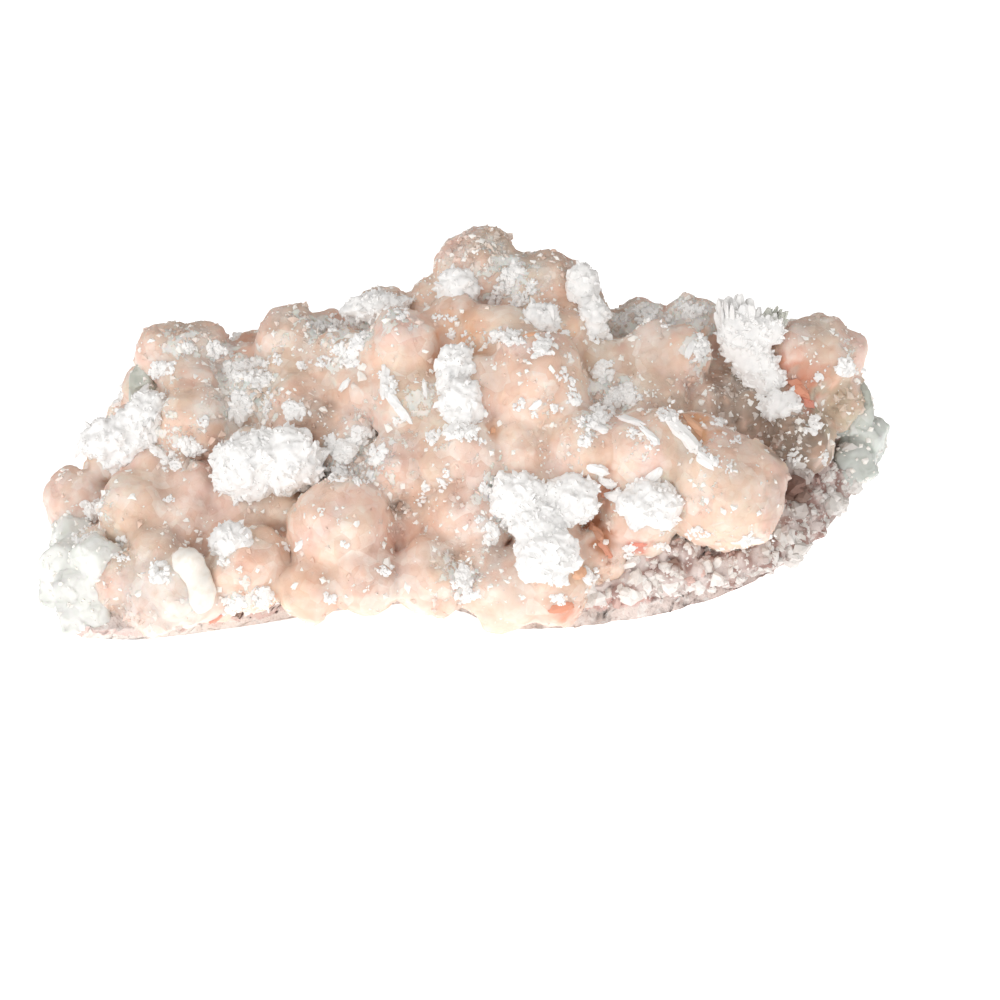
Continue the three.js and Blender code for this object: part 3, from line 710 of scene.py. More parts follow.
# %% Where the clumps are
# The lumps of each clump: [x, y, z, rx, ry, rz].
CLUMPS = {
    "white_clump_left_shoulder": [[-55.4, -7.4, 28.6, 6.0, 4.2, 4.8], [-50.8, -7.2, 32.4, 4.2, 3.8, 4.0]],
    "white_clump_left": [[-34.4, -15.6, 26.0, 5.4, 4.4, 5.2], [-27.4, -16, 27.0, 5.6, 4.4, 5.6]],
    "white_clump_low_left": [[-36, -23.6, 15.4, 3.3, 2.6, 3.1]],
    "white_clump_ridge": [[-13.7, 0, 49.3, 5.4, 3.4, 2.6]],
    "white_clump_summit": [[-0.5, -1.6, 52.4, 3.5, 2.8, 3.5]],
    "white_clump_centre": [[-0.7, -15.2, 41.0, 3.1, 2.8, 4.2], [0.2, -18.8, 36.0, 3.5, 2.8, 4.8]],
    "white_clump_upper": [[12.6, -8.2, 47.6, 3.5, 2.6, 3.5]],
    "white_clump_upper_right": [[19.6, -2.2, 53.0, 2.7, 2.4, 3.6], [21.1, -5.2, 47.8, 2.7, 2.4, 3.8]],
    "white_clump_right": [[51.8, -7, 34.3, 3.3, 2.4, 2.3]],
    "white_clump_low_centre": [
        [13.7, -28, 13.9, 5.2, 3.2, 4.7], [12.5, -25.8, 18.5, 4.2, 3.0, 3.6],
        [9.3, -23.4, 22.5, 4.7, 3.0, 4.2], [17.2, -23.6, 22.2, 4.4, 3.0, 4.0],
    ],
    "white_clump_low_right": [[29.8, -24.4, 21.4, 5.2, 3.2, 4.3]],
}
print("white clumps:", len(CLUMPS))

# %% Growing the clumps
CLUMP_RELIEF = 0.14
CLUMP_VOXEL = 0.32
CLUMP_BLEND = 0.4
CLUMP_FLAT = 0.9
GRAINS_PER_MM2 = 0.7
whites = []


def grow_small(name, lumps, voxel, blend, flat):
    """A crowd of small lumps, for which fewer passes and coarser globes do."""
    return grow(name, lumps, voxel, blend, CLUMP_RELIEF, flat, passes=3, rings=8, around=12)


def white_clump(node, lumps, seed):
    """A clump's piece: its grown lumps, broken into planes, under a crust of crystals."""
    shrunk = [lump[:3] + [0.95 * r for r in lump[3:]] for lump in lumps]
    crowded = with_buds(shrunk, share=16, size=0.36, sunk=0.5, seed=seed)
    points, faces = grow_small(node, crowded, CLUMP_VOXEL, CLUMP_BLEND, CLUMP_FLAT)
    _, outs, _, _ = crowd(points, crowded, CLUMP_BLEND, CLUMP_RELIEF, CLUMP_FLAT)
    points += (0.20 * broken(points, 1.5, seed) + 0.12 * waves(points, 1.3, seed + 1))[:, None] * outs
    draw = np.random.default_rng(seed)
    a, b, c = (points[faces[:, k]] for k in range(3))
    area = np.linalg.norm(np.cross(b - a, c - a), axis=1).sum() / 2
    places, ways, _ = scatter(points, faces, int(area * GRAINS_PER_MM2), draw)
    sizes = 0.2 + 0.55 * draw.power(0.4, len(places))
    crust = grains(places, ways, sizes, 2.0, seed + 2, sink=0.5)
    piece = write_mesh(node.replace("white_", "chalk_"), *joined([(points, faces), crust]))
    smooth_first(piece, len(faces))
    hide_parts(node)
    return piece


for number, (node, lumps) in enumerate(CLUMPS.items()):
    whites.append(white_clump(node, lumps, 100 + 10 * number))
    print(whites[-1].name, "triangles:", len(whites[-1].data.polygons))

# %% [markdown]
# ## The smooth white lobe
# Low on the left two cream-white lobes are smooth, like drops of wax. They are grown in the same way
# from two lumps and one that joins them, without crystals.

# %% Lobe
LOBE = [
    [-42.8, -27.0, 12.9, 2.5, 2.2, 2.5], [-41.0, -27.2, 8.0, 2.5, 2.1, 2.9],
    [-41.8, -26.4, 10.4, 2.2, 1.7, 3.0],
]
lobe_points, lobe_faces = grow("lobe", LOBE, voxel=0.3, blend=0.3, relief=0.12, flat=0.95, passes=3)
lobe = write_mesh("chalk_lobe_low_left", lobe_points, lobe_faces)
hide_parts("white_lobe_low_left")
print("lobe triangles:", len(lobe_faces))

# %% [markdown]
# ## The upright spray
# Behind the right shoulder a white column stands on end: a leaning stack of lumps under a ragged crust,
# with stubby blades standing out of its top and a second tuft, of glassy blades, that leans to the right.
# A blade is a flat four-sided spindle: a profile carried along its length, widest at three quarters and
# pointed at the tip. The golden angle spreads the blades over the tuft's top.

# %% The blades of the spray
SPRAY_BODY = [
    [44.9, -4.4, 46.2, 3.0, 2.5, 3.4], [46.2, -4.6, 43.8, 3.6, 2.5, 3.6], [47.8, -4.8, 40.8, 3.0, 2.3, 3.0],
    [49.7, -5.0, 38.2, 2.2, 2.0, 2.4], [49.6, -4.6, 46.4, 2.2, 2.0, 2.2],
]
# Tufts of blades: middle of the foot, half width, lean to the right, spread, length, number of blades.
SPRAY_TUFTS = [
    ([44.8, -4.4, 45.2], 3.0, 0.03, 0.24, 8.0, 34),
    ([49.4, -4.6, 45.2], 1.4, 0.45, 0.35, 6.2, 16),
]
BLADE_WIDTH = 0.8
BLADE_THICKNESS = 0.42
BLADE_SECTION = np.array([[1, 0], [0, 1], [-1, 0], [0, -1]])  # across and through, in half widths
BLADE_PROFILE = np.array([[0.6, 0.0], [1.0, 0.75], [0.6, 0.94]])  # share of the width, share of the length
SPRAY_CRUST = 420


def blades(foot, wide, tilt, spread, longest, count, seed):
    """Flat spindles as one surface: blade i starts sqrt((i + 1/2) / count) of the half width out, turned
    by the golden angle, and leans by that share of the spread, all tilted to the right. Its rings follow
    the profile and close at the foot and at the tip."""
    draw = np.random.default_rng(seed)
    step = np.arange(count)
    out = np.sqrt((step + 0.5) / count)
    lean = spread * out * draw.uniform(0.2, 1.3, count)
    turn = np.pi * (3 - math.sqrt(5)) * step
    across, through = np.sin(lean) * np.cos(turn) + tilt, 0.5 * np.sin(lean) * np.sin(turn)
    axis = unit(np.stack([across, through, np.cos(lean)], -1))
    side = unit(np.cross(axis, draw.normal(size=(count, 3))))
    depth = np.cross(axis, side)
    length = longest * (1 - 0.15 * out) * draw.uniform(0.55, 1.0, count)
    ring_out = (
        BLADE_SECTION[None, None, :, :1] * BLADE_WIDTH * side[:, None, None]
        + BLADE_SECTION[None, None, :, 1:] * BLADE_THICKNESS * depth[:, None, None]
    ) * draw.uniform(0.6, 1.4, count)[:, None, None, None]
    start = foot + wide * out[:, None] * np.stack([np.cos(turn), 0.6 * np.sin(turn), 0 * turn], -1)
    along = start[:, None] + axis[:, None] * length[:, None, None] * BLADE_PROFILE[None, :, 1:]
    body = along[:, :, None] + ring_out * BLADE_PROFILE[None, :, :1, None]
    tip = (start + axis * length[:, None] + 0.25 * side)[:, None]
    points = np.concatenate([tip, body[:, ::-1].reshape(count, -1, 3), start[:, None]], 1)
    starts = (step * points.shape[1])[:, None, None]
    faces = globe_faces(len(BLADE_PROFILE), len(BLADE_SECTION))[None] + starts
    return points.reshape(-1, 3), faces.reshape(-1, 3)


print("blades:", sum(tuft[-1] for tuft in SPRAY_TUFTS))

# %% Growing the spray
body_lumps = with_buds(SPRAY_BODY, share=18, size=0.4, sunk=0.5, seed=61)
body_points, body_faces = grow_small("spray", body_lumps, voxel=0.3, blend=0.35, flat=0.92)
spray_draw = np.random.default_rng(62)
body_places, body_outs, _ = scatter(body_points, body_faces, SPRAY_CRUST, spray_draw)
crust_sizes = 0.2 + 0.5 * spray_draw.power(0.5, SPRAY_CRUST)
body_crust = grains(body_places, body_outs + [0, 0, 0.9], crust_sizes, 1.9, 63)
white_blades, grey_blades = (blades(*tuft, 64 + k) for k, tuft in enumerate(SPRAY_TUFTS))
spray = write_mesh("spray_of_blades", *joined([(body_points, body_faces), body_crust, white_blades]))
side_spray = write_mesh("spray_of_grey_blades", *grey_blades, smooth=False)
smooth_first(spray, len(body_faces))
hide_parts("white_spray")
print("spray triangles:", len(spray.data.polygons))

# %% [markdown]
# ## Apophyllite
# Apophyllite grows as blocky, cube-like crystals with cut corners, glassy and grey-green, often cloudy
# inside. A crystal is a convex block: its distance is the largest of the distances to its planes. The
# cluster is the blended union, found with the same remesh and slide, so its edges are crisp but not
# knife-sharp.

# %% Where the crystals are
# [x, y, z, half width, half height, lean, turn] of each crystal: millimetres, then radians.
APOPHYLLITE = {
    "apophyllite_left": [
        [-62.4, -16, 8.6, 4.2, 5.4, 0.25, 0.3], [-60.6, -20.5, 5.4, 4.0, 5.0, -0.3, 0.9],
        [-58, -20.5, 11.6, 3.2, 4.0, 0.6, 0.2], [-63.2, -11, 12.6, 3.2, 4.4, 0.2, 1.1],
    ],
    "apophyllite_right": [
        [66.4, 1, 27.4, 3.3, 3.8, 0.3, 0.4], [64.4, -2, 23.6, 3.0, 3.4, -0.5, 0.9],
        [64.4, 1, 32.6, 3.2, 4.4, -0.2, 0.7],
    ],
    "apophyllite_upper_left": [
        [-52.6, 2.2, 36.0, 2.3, 3.1, 0.1, 0.8], [-51.8, 0.6, 38.2, 1.8, 2.3, -0.4, 0.1],
    ],
}
CRYSTAL_VOXEL = 0.26
CRYSTAL_BLEND = 0.2
CRYSTAL_PASSES = 5  # slides onto the exact planes
SHOULDER = 0.6  # where the slanted faces start, as a share of the half height, and how narrow they end


def crystal_planes(row):
    """One crystal's middle, and the outward directions and distances of its planes: four sides, four
    slanted faces and two ends, leaned about X and turned about Z. A slanted face goes through the side's
    upper edge (1, SHOULDER) and the end's edge (SHOULDER, 1), both in half widths and half heights."""
    x, y, z, wide, high, lean, turn = row
    quarter = np.pi / 2 * np.arange(4) + np.pi / 4
    sides = np.stack([np.cos(quarter), np.sin(quarter), 0 * quarter], -1)
    slants = unit(sides * high + [0, 0, wide])
    ends = np.array([[0, 0, 1.0], [0, 0, -1.0]])
    slant_far = (1 + SHOULDER) * wide * high / math.hypot(wide, high)
    far = np.concatenate([np.full(4, wide), np.full(4, slant_far), [high, high]])
    spin = Matrix.Rotation(turn, 3, "Z") @ Matrix.Rotation(lean, 3, "X")
    return np.array([x, y, z]), np.concatenate([sides, slants, ends]) @ np.array(spin).T, far


print("apophyllite crystals:", sum(len(rows) for rows in APOPHYLLITE.values()))

# %% Growing the clusters
def crystal_cluster(node, rows, seed):
    """A cluster's piece: each crystal cast onto a globe, remeshed together, and slid onto the planes."""
    ways, faces = globe(12, 16), globe_faces(12, 16)
    crystals = [crystal_planes(row) for row in rows]
    shells = []
    for middle, planes, far in crystals:
        reach = (far / np.maximum(ways @ planes.T, 1e-3)).clip(0, 50).min(axis=1)
        shells.append((middle + ways * reach[:, None], faces))
    points, faces = remeshed(node, shells, CRYSTAL_VOXEL)
    for _ in range(CRYSTAL_PASSES):
        total, slope = np.zeros(len(points)), np.zeros((len(points), 3))
        for middle, planes, far in crystals:
            beyond = (points - middle) @ planes.T - far
            highest = beyond.max(axis=1)
            steep = np.exp((beyond - highest[:, None]) / CRYSTAL_BLEND)
            own = highest + CRYSTAL_BLEND * np.log(steep.sum(axis=1))
            weight = np.exp(-np.clip(own, -3, 6) / CRYSTAL_BLEND)
            total += weight
            slope += weight[:, None] * ((steep / steep.sum(axis=1, keepdims=True)) @ planes)
        distance = -CRYSTAL_BLEND * np.log(np.maximum(total, 1e-12))
        points -= np.clip(distance, -CRYSTAL_VOXEL, CRYSTAL_VOXEL)[:, None] * unit(slope)
    points += (0.14 * broken(points, 2.4, seed) + 0.05 * waves(points, 1.5, seed))[:, None] * unit(slope)
    points[:, 2] = np.maximum(points[:, 2], LOWEST)
    piece = write_mesh(node.replace("apophyllite", "apophyllite_crystals"), points, faces)
    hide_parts(node)
    return piece


crystals = [crystal_cluster(node, rows, 70 + k) for k, (node, rows) in enumerate(APOPHYLLITE.items())]
for piece in crystals:
    print(piece.name, "triangles:", len(piece.data.polygons))

# %% [markdown]
# ## Matrix
# The crystals grew on a thin plate of altered rock. It lies flat on the left and curls up on the right,
# where its broken edge shows layers: grey-white below, a rusty pink seam, lilac-grey on top. The plate is
# one surface of turn and section: each point runs from the plate's middle out to its outline, along the
# underside, round the edge and back on top.

# %% The plate's outline and section
PLATE_MIDDLE = np.array([0.0, 16.0])
PLATE_OUTLINE = np.array([
    [-65, -8], [-62, -24], [-51, -26], [-36, -18], [-18, -6], [-4, -5], [8, -19], [22, -22.5], [38, -20.5],
    [52, -14.5], [62, -6], [68, 3], [64, 15], [48, 25], [20, 31], [-10, 31], [-38, 27], [-57, 16],
])
PLATE_THIN, PLATE_THICK = 3.2, 9.0
PLATE_THICKENS = (-45, 15)  # where along X it goes from thin to thick
PLATE_LIFT, PLATE_LIFT_FROM, PLATE_RIGHT, PLATE_SLOPE = 23.0, 9.0, 69.0, 0.105
PLATE_TURNS = 640
# The section, from the middle along the underside, round the edge and back on top: the step it is
# reached at, the share of the way out to the outline and the share of the thickness.
SECTION_STEP = [0, 16, 28, 38, 50, 62]
SECTION_OUT = [0.05, 0.98, 1.0, 0.93, 0.75, 0.05]
SECTION_UP = [0, 0, 0.58, 1.0, 1.45, 1.45]
SECTION_ROWS = np.arange(SECTION_STEP[-1] + 1)
PLATE_OUT = np.interp(SECTION_ROWS, SECTION_STEP, SECTION_OUT)
PLATE_UP = np.interp(SECTION_ROWS, SECTION_STEP, SECTION_UP)
UNDERSIDE = 0.02  # shares of the thickness up to this stay flat, to rest on


def outline_at(turn):
    """The plate's outline as a closed Catmull-Rom curve through its points, at shares of a turn."""
    count = len(PLATE_OUTLINE)
    place = turn * count
    here = np.floor(place).astype(int)
    t = (place - here)[:, None]
    p0, p1, p2, p3 = (PLATE_OUTLINE[(here + k) % count] for k in (-1, 0, 1, 2))
    return 0.5 * (
        2 * p1 + (p2 - p0) * t + (2 * p0 - 5 * p1 + 4 * p2 - p3) * t**2 + (3 * p1 - p0 - 3 * p2 + p3) * t**3
    )


def plate_lift(x):
    """How far the underside stands above the shelf: none on the left, then a slope and a curl that
    steepens to the right end, as 1 - sqrt(1 - t^3)."""
    run = np.maximum(x - PLATE_LIFT_FROM, 0)
    t = np.minimum(run / (PLATE_RIGHT - PLATE_LIFT_FROM), 1)
    return PLATE_SLOPE * run + PLATE_LIFT * (1 - np.sqrt(1 - t**3))


print("plate points:", len(SECTION_ROWS) * PLATE_TURNS)

# %% Growing the plate
turns = np.arange(PLATE_TURNS) / PLATE_TURNS
rim = outline_at(turns)
level_rim = np.column_stack([rim, 0 * turns])
bite = 0.55 * waves(level_rim, 9, 81) + 0.3 * waves(level_rim, 3, 82)
rim -= unit(rim - PLATE_MIDDLE) * np.maximum(bite + 0.35, 0)[:, None]
flat = PLATE_MIDDLE + (rim - PLATE_MIDDLE)[None] * PLATE_OUT[:, None, None]
thick = PLATE_THIN + (PLATE_THICK - PLATE_THIN) * fade(*PLATE_THICKENS, flat[..., 0])
wave = 0.6 * np.sin(0.31 * flat[..., 0]) * np.sin(0.27 * flat[..., 1] + 1) * PLATE_UP[:, None]
height = plate_lift(flat[..., 0]) + PLATE_UP[:, None] * thick + wave
plate = np.concatenate([flat, height[..., None]], -1).reshape(-1, 3)
layer = np.repeat(PLATE_UP, PLATE_TURNS)
edge = np.repeat(fade(0.7, 0.93, PLATE_OUT), PLATE_TURNS)
outward = unit(np.column_stack([(flat - PLATE_MIDDLE).reshape(-1, 2), 0 * layer]))
chipped = 0.9 * np.abs(broken(plate * [1, 1, 1.6], 4.5, 83)) + 0.4 * np.abs(broken(plate, 1.9, 84))
plate -= outward * (edge * chipped * (layer > UNDERSIDE))[:, None]
plate[:, 2] += (layer > UNDERSIDE) * (0.3 * waves(plate, 5, 85) + 0.5 * edge * broken(plate, 2.6, 86))
plate[:, 2] = np.maximum(plate[:, 2], 0)
ends = np.array([[*PLATE_MIDDLE, plate_lift(PLATE_MIDDLE[:1])[0]], [*PLATE_MIDDLE, plate[-1, 2]]])
plate = np.concatenate([ends[:1], plate, ends[1:]])
plate_faces = globe_faces(len(PLATE_OUT), PLATE_TURNS)[:, ::-1]
layer = np.concatenate([[0], layer, [SECTION_UP[-1]]])
matrix = write_mesh("matrix_plate", plate, plate_faces)
add_number(matrix, "layer", layer)
add_number(matrix, "right", fade(0, 55, plate[:, 0]))
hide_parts("matrix")
print("matrix triangles:", len(plate_faces))

# %% [markdown]
# ### The ledge
# In front, the angle between the plate and the heads is filled with crumbs of everything: grey-white,
# lilac, pink and brown. A crowd of lumps fills it, and blocks of four sizes lie on it and on the plate's
# top. A wave picks each block's tone, so that like ones lie together, and a few hollows are darkened to
# brown as painted shade.

# %% The lumps and tones of the ledge
# Lumps that fill the angle between the plate and the heads above it: [x, y, z, radius].
LEDGE_LUMPS = [
    [19.7, -20.5, 6.9, 3.0], [24.1, -19.5, 7.4, 3.2], [28.6, -19.5, 7.8, 3.3], [33.0, -19, 8.7, 3.4],
    [37.9, -18, 9.3, 3.4], [42.8, -16.5, 10.0, 3.4], [47.5, -14.5, 11.4, 3.4], [51.9, -12, 13.4, 3.4],
    [55.7, -9, 15.9, 3.4], [58.9, -6, 18.6, 3.2], [61.8, -3, 21.2, 3.0], [64.3, -1, 23.6, 2.6],
    [22.1, -19, 11.7, 3.0], [28.5, -19, 12.0, 3.2], [34.0, -18.5, 12.6, 2.8], [49.8, -12, 16.7, 3.2],
    [55.0, -8, 19.4, 3.4], [57.7, -5, 22.4, 3.2], [52.8, -8, 23.0, 3.2],
]
LEDGE_CRUMBS = 6000
LEDGE_CRYSTALS = 700  # larger ones among the crumbs
LEDGE_BLOCKS = 150  # and the largest
LEDGE_TONES = np.array([
    [0.88, 0.85, 0.82], [0.80, 0.76, 0.72], [0.72, 0.63, 0.60], [0.70, 0.50, 0.45], [0.42, 0.28, 0.25],
])
LEDGE_BOULDERS = 110  # rounded grey-white ones, where the ledge is coarse
LEDGE_BLEND = 0.35
LEDGE_FLAT = 0.9
# Hollows of the ledge, darkened to brown as painted shade: [x, y, z, radius].
SHADED_HOLLOWS = [
    [54, -10, 21, 3.4], [48, -13, 15, 2.6], [57, -7, 24, 2.4], [34, -21, 11.5, 1.4], [60, -3, 20, 1.8],
]
HOLLOW_SHADE_LOSS = [0.62, 0.74, 0.78]  # shares of red, green and blue that the middle of a hollow loses


def hollow_shade(points):
    """What is left of red, green and blue as painted shade: brown in the middle of a hollow, all of them
    outside.
    """
    depth = np.zeros(len(points))
    for x, y, z, radius in SHADED_HOLLOWS:
        depth = np.maximum(depth, 1 - fade(0.5, 1.2, np.linalg.norm(points - [x, y, z], axis=1) / radius))
    return 1 - depth[:, None] * HOLLOW_SHADE_LOSS


def ledge_tone(points, draw, mean):
    """White, grey-white, lilac, pink or brown: a mean, waves of 4 mm and a random step for each point.
    It darkens towards the right end, and in the hollows as painted shade."""
    mood = mean + 1.2 * waves(points, 4.0, 90) + draw.normal(0, 0.8, len(points))
    shade = (1 - 0.12 * fade(38, 60, points[:, :1])) * hollow_shade(points)
    return LEDGE_TONES[np.clip(mood.astype(int), 0, 4)] * shade * draw.uniform(0.93, 1.04, (len(points), 1))


print("ledge lumps:", len(LEDGE_LUMPS), "dark hollows:", len(SHADED_HOLLOWS))

# %% Filling the ledge
ledge_draw = np.random.default_rng(88)
wide_lumps = [[x, y, z, 1.15 * r, 0.85 * r, 0.85 * r] for x, y, z, r in LEDGE_LUMPS]
ledge_crowd = with_buds(wide_lumps, share=12, size=0.42, sunk=0.5, seed=87)
filling, filling_faces = grow_small("ledge", ledge_crowd, 0.45, LEDGE_BLEND, LEDGE_FLAT)
_, filling_outs, _, _ = crowd(filling, ledge_crowd, LEDGE_BLEND, CLUMP_RELIEF, LEDGE_FLAT)
filling += (0.4 * broken(filling, 1.9, 87))[:, None] * filling_outs
brown = fade(-0.4, 0.9, waves(filling, 3, 90) + 0.6 * fade(40, 58, filling[:, 0]))[:, None]
# The hollows darken the filling too, as painted shade.
filling_tone = (LEDGE_TONES[2] + brown * (LEDGE_TONES[4] - LEDGE_TONES[2])) * hollow_shade(filling)
print("filling triangles:", len(filling_faces))

# %% Blocks on the ledge
reach_out = np.concatenate([[0], np.repeat(PLATE_OUT, PLATE_TURNS), [0]])
ledge_weight = fade(0.9, 1.1, of_faces(layer, plate_faces))
ledge_weight = ledge_weight * fade(0.66, 0.8, of_faces(reach_out, plate_faces))
crusts, crust_tones = [], []
for count, smallest, spread, kind, mean in (
    (LEDGE_CRUMBS, 0.2, 0.6, BLOCK, 1.4),
    (LEDGE_CRYSTALS, 0.6, 0.9, NUGGET, 0.9),
    (LEDGE_BLOCKS, 1.0, 1.1, NUGGET, 0.4),
):
    on_plate = scatter(plate, plate_faces, count // 2, ledge_draw, ledge_weight)
    on_filling = scatter(filling, filling_faces, count // 2, ledge_draw)
    places, outs = (np.concatenate([on_plate[k], on_filling[k]]) for k in range(2))
    sizes = smallest + spread * ledge_draw.power(0.4, len(places))
    crusts.append(grains(places, outs, sizes, 1.0, 89, sink=0.4, kind=kind))
    crust_tones.append(np.repeat(ledge_tone(places, ledge_draw, mean), len(globe(*kind)), axis=0))
coarse = fade(46, 52, filling[:, 0]) + fade(30, 27, filling[:, 0]) + 0.1
places, outs, _ = scatter(filling, filling_faces, LEDGE_BOULDERS, ledge_draw, of_faces(coarse, filling_faces))
sizes = 1.1 + 1.0 * ledge_draw.power(0.6, LEDGE_BOULDERS)
crusts.append(grains(places, outs, sizes, 0.9, 103, sink=0.3, kind=SLIVER))
crust_tones.append(np.repeat(ledge_tone(places, ledge_draw, -0.4), len(globe(*SLIVER)), axis=0))
ledge = write_mesh("ledge_crumbs", *joined([(filling, filling_faces), *crusts]))
smooth_first(ledge, len(filling_faces))
add_colour(ledge, "tone", np.clip(np.concatenate([filling_tone, *crust_tones]), 0, PALEST))
print("ledge triangles:", len(ledge.data.polygons))

# %% [markdown]
# ## White tufts, flakes and specks
# Beside the large clumps, well over a hundred tufts of 1 to 6 mm sit on the stilbite, with a few long
# crystals, and thousands of specks and flakes below 1 mm dust it. A tuft is a heap of blocks with finer
# ones at its rim. It is put where it is seen, and stands on the surface there. Behind, patches are
# scattered at random. So are the specks and flakes, with more of them on top and where it is crumbly.

# %% Where the tufts are
# [pixels across, pixels down, half length and half width in mm, turn of the length in degrees].
TUFTS = [
    (648, 315, 2.8, 1.4, -25), (668, 322, 2.0, 1.2, 10), (690, 312, 2.6, 1.6, 0), (702, 349, 2.6, 1.6, 80),
    (814, 425, 2.4, 1.6, 60), (542, 347, 3.0, 1.9, 85), (358, 344, 3.0, 1.8, 50), (350, 360, 2.0, 1.4, 0),
    (395, 304, 2.6, 1.1, 0), (510, 274, 2.8, 1.6, 30), (502, 290, 2.0, 1.1, 10), (562, 376, 1.6, 1.0, 60),
    (572, 392, 1.2, 0.9, 0), (162, 369, 3.2, 1.6, 10), (192, 450, 2.9, 1.5, -5), (170, 464, 2.2, 1.4, -20),
    (93, 512, 2.0, 1.8, 60), (82, 542, 2.4, 1.5, 0), (250, 371, 3.6, 2.2, 20), (240, 412, 2.8, 2.0, 60),
    (262, 597, 2.2, 1.7, 70), (232, 605, 1.8, 1.7, 70), (160, 572, 2.4, 2.0, 80), (694, 533, 1.8, 1.3, 30),
    (463, 428, 3.2, 1.8, 10), (433, 436, 1.8, 1.4, 60), (602, 412, 2.8, 2.0, 20), (630, 398, 2.4, 1.5, 0),
    (600, 336, 2.2, 1.4, 30), (490, 534, 2.2, 1.8, 80), (318, 326, 2.4, 1.2, 0), (450, 337, 0.8, 0.7, 0),
    (467, 335, 0.8, 0.7, 0), (436, 318, 0.8, 0.7, 0), (445, 318, 0.8, 0.7, 0), (506, 335, 3.4, 1.6, 0),
    (450, 434, 1.7, 1.4, 60), (470, 430, 2.0, 1.5, 80), (515, 270, 2.2, 1.5, 20), (293, 410, 2.3, 1.9, 0),
    (390, 392, 2.9, 1.2, 75), (398, 418, 1.8, 1.1, 60), (385, 376, 1.6, 1.1, 40), (370, 300, 3.6, 1.7, 15),
    (395, 310, 3.0, 1.6, -25), (355, 318, 2.6, 1.3, 40), (332, 326, 2.4, 1.4, 20), (602, 372, 2.4, 2.0, 60),
    (622, 392, 2.6, 1.8, 20), (612, 402, 2.0, 1.4, 0), (700, 347, 2.7, 1.4, 80), (680, 428, 3.9, 1.3, -52),
    (668, 415, 2.2, 1.5, -20), (696, 448, 2.0, 1.3, -30), (714, 461, 1.9, 1.0, -50),
    (634, 434, 2.0, 0.9, -45), (652, 442, 1.9, 0.6, -55), (590, 424, 1.9, 1.5, 0), (584, 443, 1.9, 1.3, 60),
    (601, 472, 1.7, 1.2, 0), (612, 485, 1.7, 0.9, -30), (748, 539, 1.9, 1.2, 70), (770, 537, 0.9, 0.7, 0),
    (804, 534, 2.2, 0.9, -5), (660, 545, 1.2, 1.0, 0), (745, 372, 2.2, 1.4, -30), (760, 395, 1.7, 1.1, 0),
    (818, 376, 1.2, 1.0, 0), (845, 366, 1.7, 2.0, 0), (720, 421, 1.9, 1.3, 20), (736, 441, 1.3, 0.9, 0),
    (795, 458, 1.4, 1.2, 0), (826, 458, 1.6, 1.0, 0), (232, 370, 2.4, 1.6, 70), (238, 400, 2.2, 1.8, 60),
    (262, 382, 2.4, 1.5, 30), (270, 402, 1.9, 1.2, 60), (215, 350, 1.9, 1.6, 0), (188, 348, 1.5, 1.2, 0),
    (160, 368, 2.2, 1.4, 20), (187, 446, 2.9, 1.5, -8), (172, 455, 1.8, 1.0, -30), (205, 422, 1.3, 1.1, 40),
    (95, 508, 2.0, 1.5, 60), (120, 542, 1.5, 1.2, 50), (118, 556, 1.3, 1.0, 0), (90, 540, 2.2, 1.2, 10),
    (80, 528, 1.7, 1.2, 30), (169, 500, 1.1, 0.9, 0), (345, 450, 3.0, 2.2, 30), (362, 436, 2.7, 1.9, 0),
    (378, 455, 2.4, 1.7, 60), (340, 475, 2.5, 1.7, 0), (365, 478, 2.4, 1.4, 20), (385, 570, 1.5, 1.2, 70),
    (425, 488, 1.8, 0.9, 70), (421, 500, 1.4, 0.9, 30), (444, 480, 2.3, 1.1, 75), (462, 578, 3.0, 1.9, 75),
    (470, 596, 2.2, 1.6, 20), (512, 340, 2.6, 1.2, 5), (520, 300, 1.9, 1.4, 30), (495, 300, 1.8, 1.3, 60),
    (530, 288, 1.5, 1.1, 0), (508, 285, 1.5, 1.2, 30), (522, 334, 1.3, 0.8, 0), (565, 333, 0.9, 0.9, 45),
    (520, 405, 1.4, 1.1, 30), (537, 415, 1.0, 0.7, 0), (570, 382, 1.1, 1.1, 60), (575, 400, 1.5, 1.3, 0),
    (553, 408, 1.2, 1.0, 30), (455, 320, 1.0, 0.8, 0), (452, 335, 0.9, 0.9, 0), (630, 550, 1.8, 1.3, 20),
    (645, 578, 2.3, 1.7, 0), (670, 572, 2.4, 1.7, 30), (690, 566, 2.0, 1.4, 0), (712, 560, 1.7, 1.1, 0),
    (590, 575, 1.9, 1.7, 60), (610, 590, 2.2, 1.5, 0), (500, 505, 2.4, 1.8, 20), (488, 488, 1.9, 1.3, 70),
    (510, 525, 2.2, 1.4, 0), (240, 604, 2.0, 1.3, 70), (265, 598, 2.2, 1.6, 70), (330, 598, 1.6, 1.1, 0),
    (560, 600, 1.6, 1.2, 0), (600, 600, 2.6, 1.3, -10), (640, 605, 2.2, 1.2, 5), (108, 440, 1.6, 1.2, 0),
    (478, 440, 1.2, 0.8, 0), (275, 360, 1.4, 1.0, 0), (300, 365, 1.6, 1.0, -20), (322, 362, 1.9, 1.1, 10),
    (340, 350, 2.1, 1.3, 30), (640, 320, 1.9, 1.1, 15), (622, 318, 1.5, 1.0, 0), (330, 440, 1.5, 1.2, 0),
    (286, 545, 0.9, 0.7, 0), (345, 545, 1.2, 0.8, 30), (220, 560, 1.0, 1.0, 0), (860, 463, 2.6, 1.0, 5),
    (820, 495, 1.8, 1.2, 40), (812, 515, 1.6, 1.1, 0), (835, 478, 1.6, 1.0, 0), (705, 535, 1.0, 0.8, 0),
    (730, 470, 0.9, 0.7, 0), (480, 520, 1.0, 0.8, 0),
]
print("tufts:", len(TUFTS))

